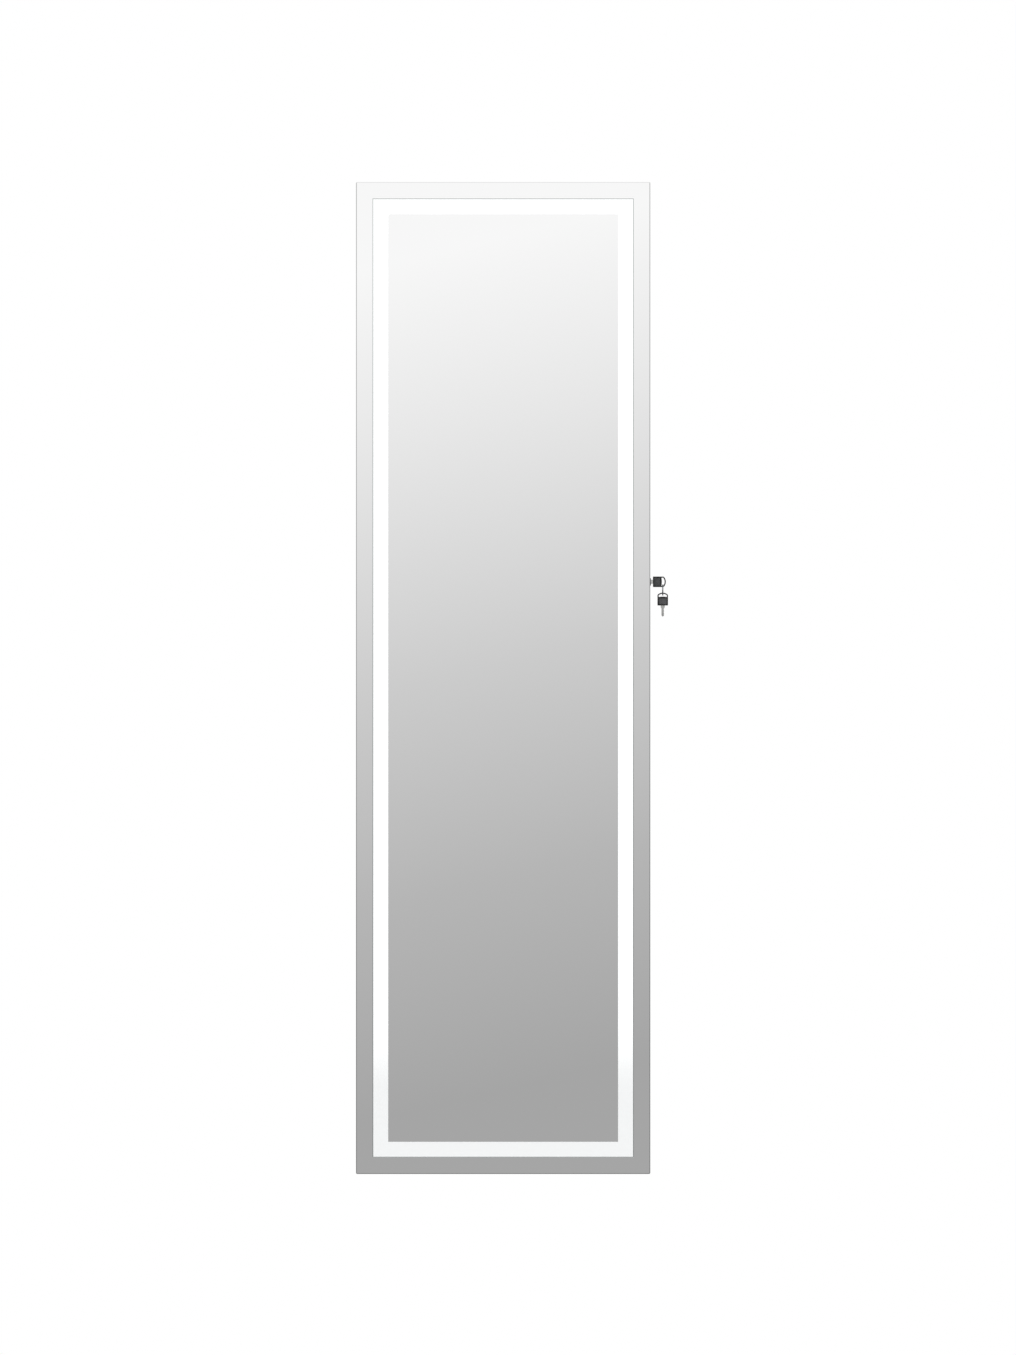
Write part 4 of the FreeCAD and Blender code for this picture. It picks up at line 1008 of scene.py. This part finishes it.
@dataclass
class Keys(SubAssembly):
    """Key in the lock, and the spare one that hangs from it on a split ring."""

    ring_turns: int = 2
    ring_sections: int = 120
    wire_points: int = 12
    crossing_start: float = 0.44     # where the wire starts to cross over, as a share of its length
    crossing_share: float = 0.12
    first_end_deg: float = 60.0
    wire_flatness: float = 0.6       # 1 is round wire, and less is flatter-sided
    wire_width_share: float = 0.96   # of half the node's width, so that the turns stay apart
    wire_depth_share: float = 0.9
    head_body_mm: float = 10.3
    head_rim_mm: float = 1.6

    def build_ring(self) -> bpy.types.Object:
        """Models the split ring: flat-sided wire wound twice, crossing over once.

        Returns:
            The ring.
        """
        low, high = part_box("key_ring")
        centre = (low + high) / 2
        wire_r = (high.x - low.x) / 2
        outer = (high.z - low.z) / 2
        mean = outer - wire_r
        rings = []
        for i in range(self.ring_sections + 1):
            share = i / self.ring_sections
            angle = 2 * math.pi * self.ring_turns * share + math.radians(self.first_end_deg)
            cross = min(1.0, max(0.0, (share - self.crossing_start) / self.crossing_share))
            side = (2 * cross * cross * (3 - 2 * cross) - 1) * wire_r / 2
            ring = []
            for j in range(self.wire_points):
                turn = 2 * math.pi * j / self.wire_points
                across, out = math.cos(turn), math.sin(turn)
                x = side + wire_r / 2 * self.wire_width_share * math.copysign(
                    abs(across) ** self.wire_flatness, across)
                r = mean + wire_r * self.wire_depth_share * math.copysign(
                    abs(out) ** self.wire_flatness, out)
                ring.append(centre + Vector((x, r * math.cos(angle), r * math.sin(angle))))
            rings.append(ring)
        nickel = Metal("steel_nickel_plated_wire", "#8E9194", "#6C6F73", MetalWork.SATIN_PLATED)
        piece = new_piece("split_ring", lofted(rings), "key_ring", [nickel], "key_ring")
        smooth(piece, 50)
        return piece

    def build(self) -> list[bpy.types.Object]:
        """Models the split ring."""
        return [self.build_ring()]

    def dress(self) -> None:
        """Finishes the heads and blades."""
        for name, along_axis in (("key_head", 0), ("spare_key_head", 2)):
            low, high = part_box(name)
            across_axis = 2 - along_axis
            sunk_low, sunk_high = low.copy(), high.copy()
            sunk_low[along_axis] += self.head_rim_mm * MM
            sunk_high[along_axis] = low[along_axis] + (self.head_body_mm - self.head_rim_mm) * MM
            sunk_low[across_axis] += self.head_rim_mm * MM
            sunk_high[across_axis] -= self.head_rim_mm * MM
            paint(KeyHeadMoulding(f"abs_moulded_black_{name}", "#151515", "#2B2B2C", "#474748", "#565657",
                                  tuple(sunk_low), tuple(sunk_high)), name)
        ease(0.3, "key_head", "spare_key_head")
        # Both blades are the same nickel-plated brass. The key in the lock gets a lighter base colour than
        # the hanging spare: painted light that makes up for the shade its head and the lock cast on its neck.
        paint(Metal("brass_nickel_plated_milled", "#DCDCDA", "#C6C6C4", MetalWork.MILLED), "key_blade")
        paint(Metal("brass_nickel_plated_milled_spare", "#BFBFBD", "#A7A7A5", MetalWork.HUNG_MILLED),
              "spare_key_blade")


@dataclass
class Studio:
    """Camera, lamps, surroundings and floor."""

    photo_px: tuple[int, int] = (1016, 1355)
    glass_height_px: float = 992.05
    glass_middle_px: tuple[float, float] = (503.15, 678.0)
    lens_mm: float = 200.0
    sensor_mm: float = 36.0
    floor_drop_m: float = 0.4
    floor_radius_m: float = 1.6
    silver_reflectance: float = 0.92     # what the mirror gives back, made up for by the studio
    wall_low: float = -0.0545            # rise of the directions that the mirror shows to the camera
    wall_high: float = 0.0585
    wall_lean: float = -0.24             # how the wall's greys tilt from left to right
    wall_lean_reach: float = 0.03
    # Places up the wall and their greys, as the mirror in the photograph shows them.
    wall_greys: tuple[tuple[float, str], ...] = ((0.0, "#A5A5A5"), (1.0, "#F7F7F7"), (0.25, "#B5B5B5"),
                                                 (0.5, "#CBCBCB"), (0.79, "#E7E7E7"))
    floor_sides: int = 96
    lamps: tuple[tuple[str, Point, float, float], ...] = (("key_lamp", (-2.6, -5.2, 3.0), 2.4, 168.0),
                                                          ("fill_lamp", (5.2, -2.9, 1.2), 2.6, 96.0),
                                                          ("back_lamp", (1.2, 4.6, 2.4), 2.4, 97.0))

    def camera(self) -> bpy.types.Object:
        """Sets a long-lens camera straight on, framed as the photograph is.

        Returns:
            The camera.
        """
        low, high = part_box("mirror_glass")
        m_per_px = (high.z - low.z) / self.glass_height_px
        distance = self.photo_px[1] * m_per_px * self.lens_mm / self.sensor_mm
        right = (self.photo_px[0] / 2 - self.glass_middle_px[0]) * m_per_px
        up = (self.glass_middle_px[1] - self.photo_px[1] / 2) * m_per_px
        data = bpy.data.cameras.new("long_lens")
        data.lens, data.sensor_width = self.lens_mm, self.sensor_mm
        data.clip_start, data.clip_end = 0.1, 60.0
        camera = bpy.data.objects.new("photo_camera", data)
        camera.location = (right, low.y - distance, up)
        camera.rotation_euler = (math.radians(90), 0, 0)
        bpy.context.scene.collection.objects.link(camera)
        bpy.context.scene.camera = camera
        return camera

    def lamp(self, name: str, place: Point, size: float, power: float) -> None:
        """Adds a soft square lamp that faces the cabinet.

        Args:
            name: Name of the lamp.
            place: Where it stands, in metres.
            size: Its side, in metres.
            power: Its power in watts.
        """
        data = bpy.data.lights.new(name, "AREA")
        data.size, data.energy = size, power
        lamp = bpy.data.objects.new(name, data)
        lamp.location = place
        lamp.rotation_euler = (-Vector(place)).to_track_quat("-Z", "Y").to_euler()
        bpy.context.scene.collection.objects.link(lamp)

    def surroundings(self) -> None:
        """White backdrop for the camera, and a studio that mirror and metal reflect.

        Across eye level the reflected studio goes from a pale wall down to a grey one, nearly evenly
        to the eye. Its floor is a little paler far off and dim close by, and its sides are dim, so that
        polished edges stand out.
        """
        world = bpy.data.worlds.new("studio")
        world.use_nodes = True
        bpy.context.scene.world = world
        tree = world.node_tree
        tree.nodes.clear()
        look = add(tree, "SeparateXYZ", {0: add(tree, "TexCoord").outputs["Generated"]})
        lean = add(tree, "Clamp", {0: look.outputs["X"], 1: -self.wall_lean_reach, 2: self.wall_lean_reach})
        level = add(tree, "Math", {0: lean, 1: self.wall_lean, 2: look.outputs["Z"]},
                    operation="MULTIPLY_ADD")
        wall = add(tree, "ValToRGB", {0: spread(tree, level, self.wall_low, self.wall_high, 0.0, 1.0)},
                   stops=self.wall_greys)
        floor = spread(tree, look.outputs["Z"], -0.3, -0.06, 1.2, 1.0)
        below = spread(tree, look.outputs["Z"], -1.0, -0.5, 0.38, 1.0)
        above = spread(tree, look.outputs["Z"], 0.1, 0.9, 1.0, 0.84)
        aside = add(tree, "Math", {0: look.outputs["X"]}, operation="ABSOLUTE")
        side = spread(tree, aside, 0.45, 1.0, 1.0, 0.5)
        light = 1 / self.silver_reflectance
        for factor in (floor, below, above, side):
            light = add(tree, "Math", {0: light, 1: factor}, operation="MULTIPLY")
        reflected = add(tree, "Background", {"Color": wall, "Strength": light})
        ambient = add(tree, "Background", {"Color": linear("#FBFCFF"), "Strength": 0.5})
        white = add(tree, "Background", {"Color": linear("#FFFFFF"), "Strength": 1.0})
        rays = add(tree, "LightPath")
        through = add(tree, "Math", {0: rays.outputs["Is Camera Ray"],
                                     1: rays.outputs["Is Transmission Ray"]}, operation="MAXIMUM")
        mix = add(tree, "MixShader", {0: rays.outputs["Is Glossy Ray"], 1: ambient, 2: reflected})
        mix = add(tree, "MixShader", {0: through, 1: mix, 2: white})
        add(tree, "OutputWorld", {"Surface": mix})

    def floor(self) -> bpy.types.Object:
        """Round pale floor under the cabinet that fades out and keeps a soft shadow.

        Returns:
            The floor.
        """
        low, high = CAD_BOX
        mesh = bmesh.new()
        centre = ((low.x + high.x) / 2, (low.y + high.y) / 2, low.z - self.floor_drop_m)
        rim = []
        for i in range(self.floor_sides):
            angle = 2 * math.pi * i / self.floor_sides
            rim.append(mesh.verts.new((centre[0] + self.floor_radius_m * math.cos(angle),
                                       centre[1] + self.floor_radius_m * math.sin(angle), centre[2])))
        mesh.faces.new(rim)
        data = bpy.data.meshes.new("studio_floor")
        mesh.to_mesh(data)
        mesh.free()
        floor = bpy.data.objects.new("studio_floor", data)
        bpy.context.scene.collection.objects.link(floor)
        paper = PaleFloor("paper_matt_white", "#F4F4F2", centre[:2], self.floor_radius_m)
        data.materials.append(paper.made())
        return floor

    def build(self) -> None:
        """Sets up the whole studio."""
        self.camera()
        self.surroundings()
        self.floor()
        for name, place, size, power in self.lamps:
            self.lamp(name, place, size, power)
        bpy.context.scene.view_settings.view_transform = "Standard"


def main() -> None:
    """Dresses and builds each sub-assembly in order, and reports its pieces."""
    logging.basicConfig(level=logging.INFO, format="%(name)s: %(message)s")
    Studio().build()
    for assembly in (MirrorFront(), Carcass(), Interior(), Door(), LightUnit(), Fittings(), Lock(), Keys()):
        assembly.dress()
        made = assembly.build()
        log.info("%s dressed, new pieces: %s", type(assembly).__name__, [piece.name for piece in made])


if __name__ == "__main__":
    main()
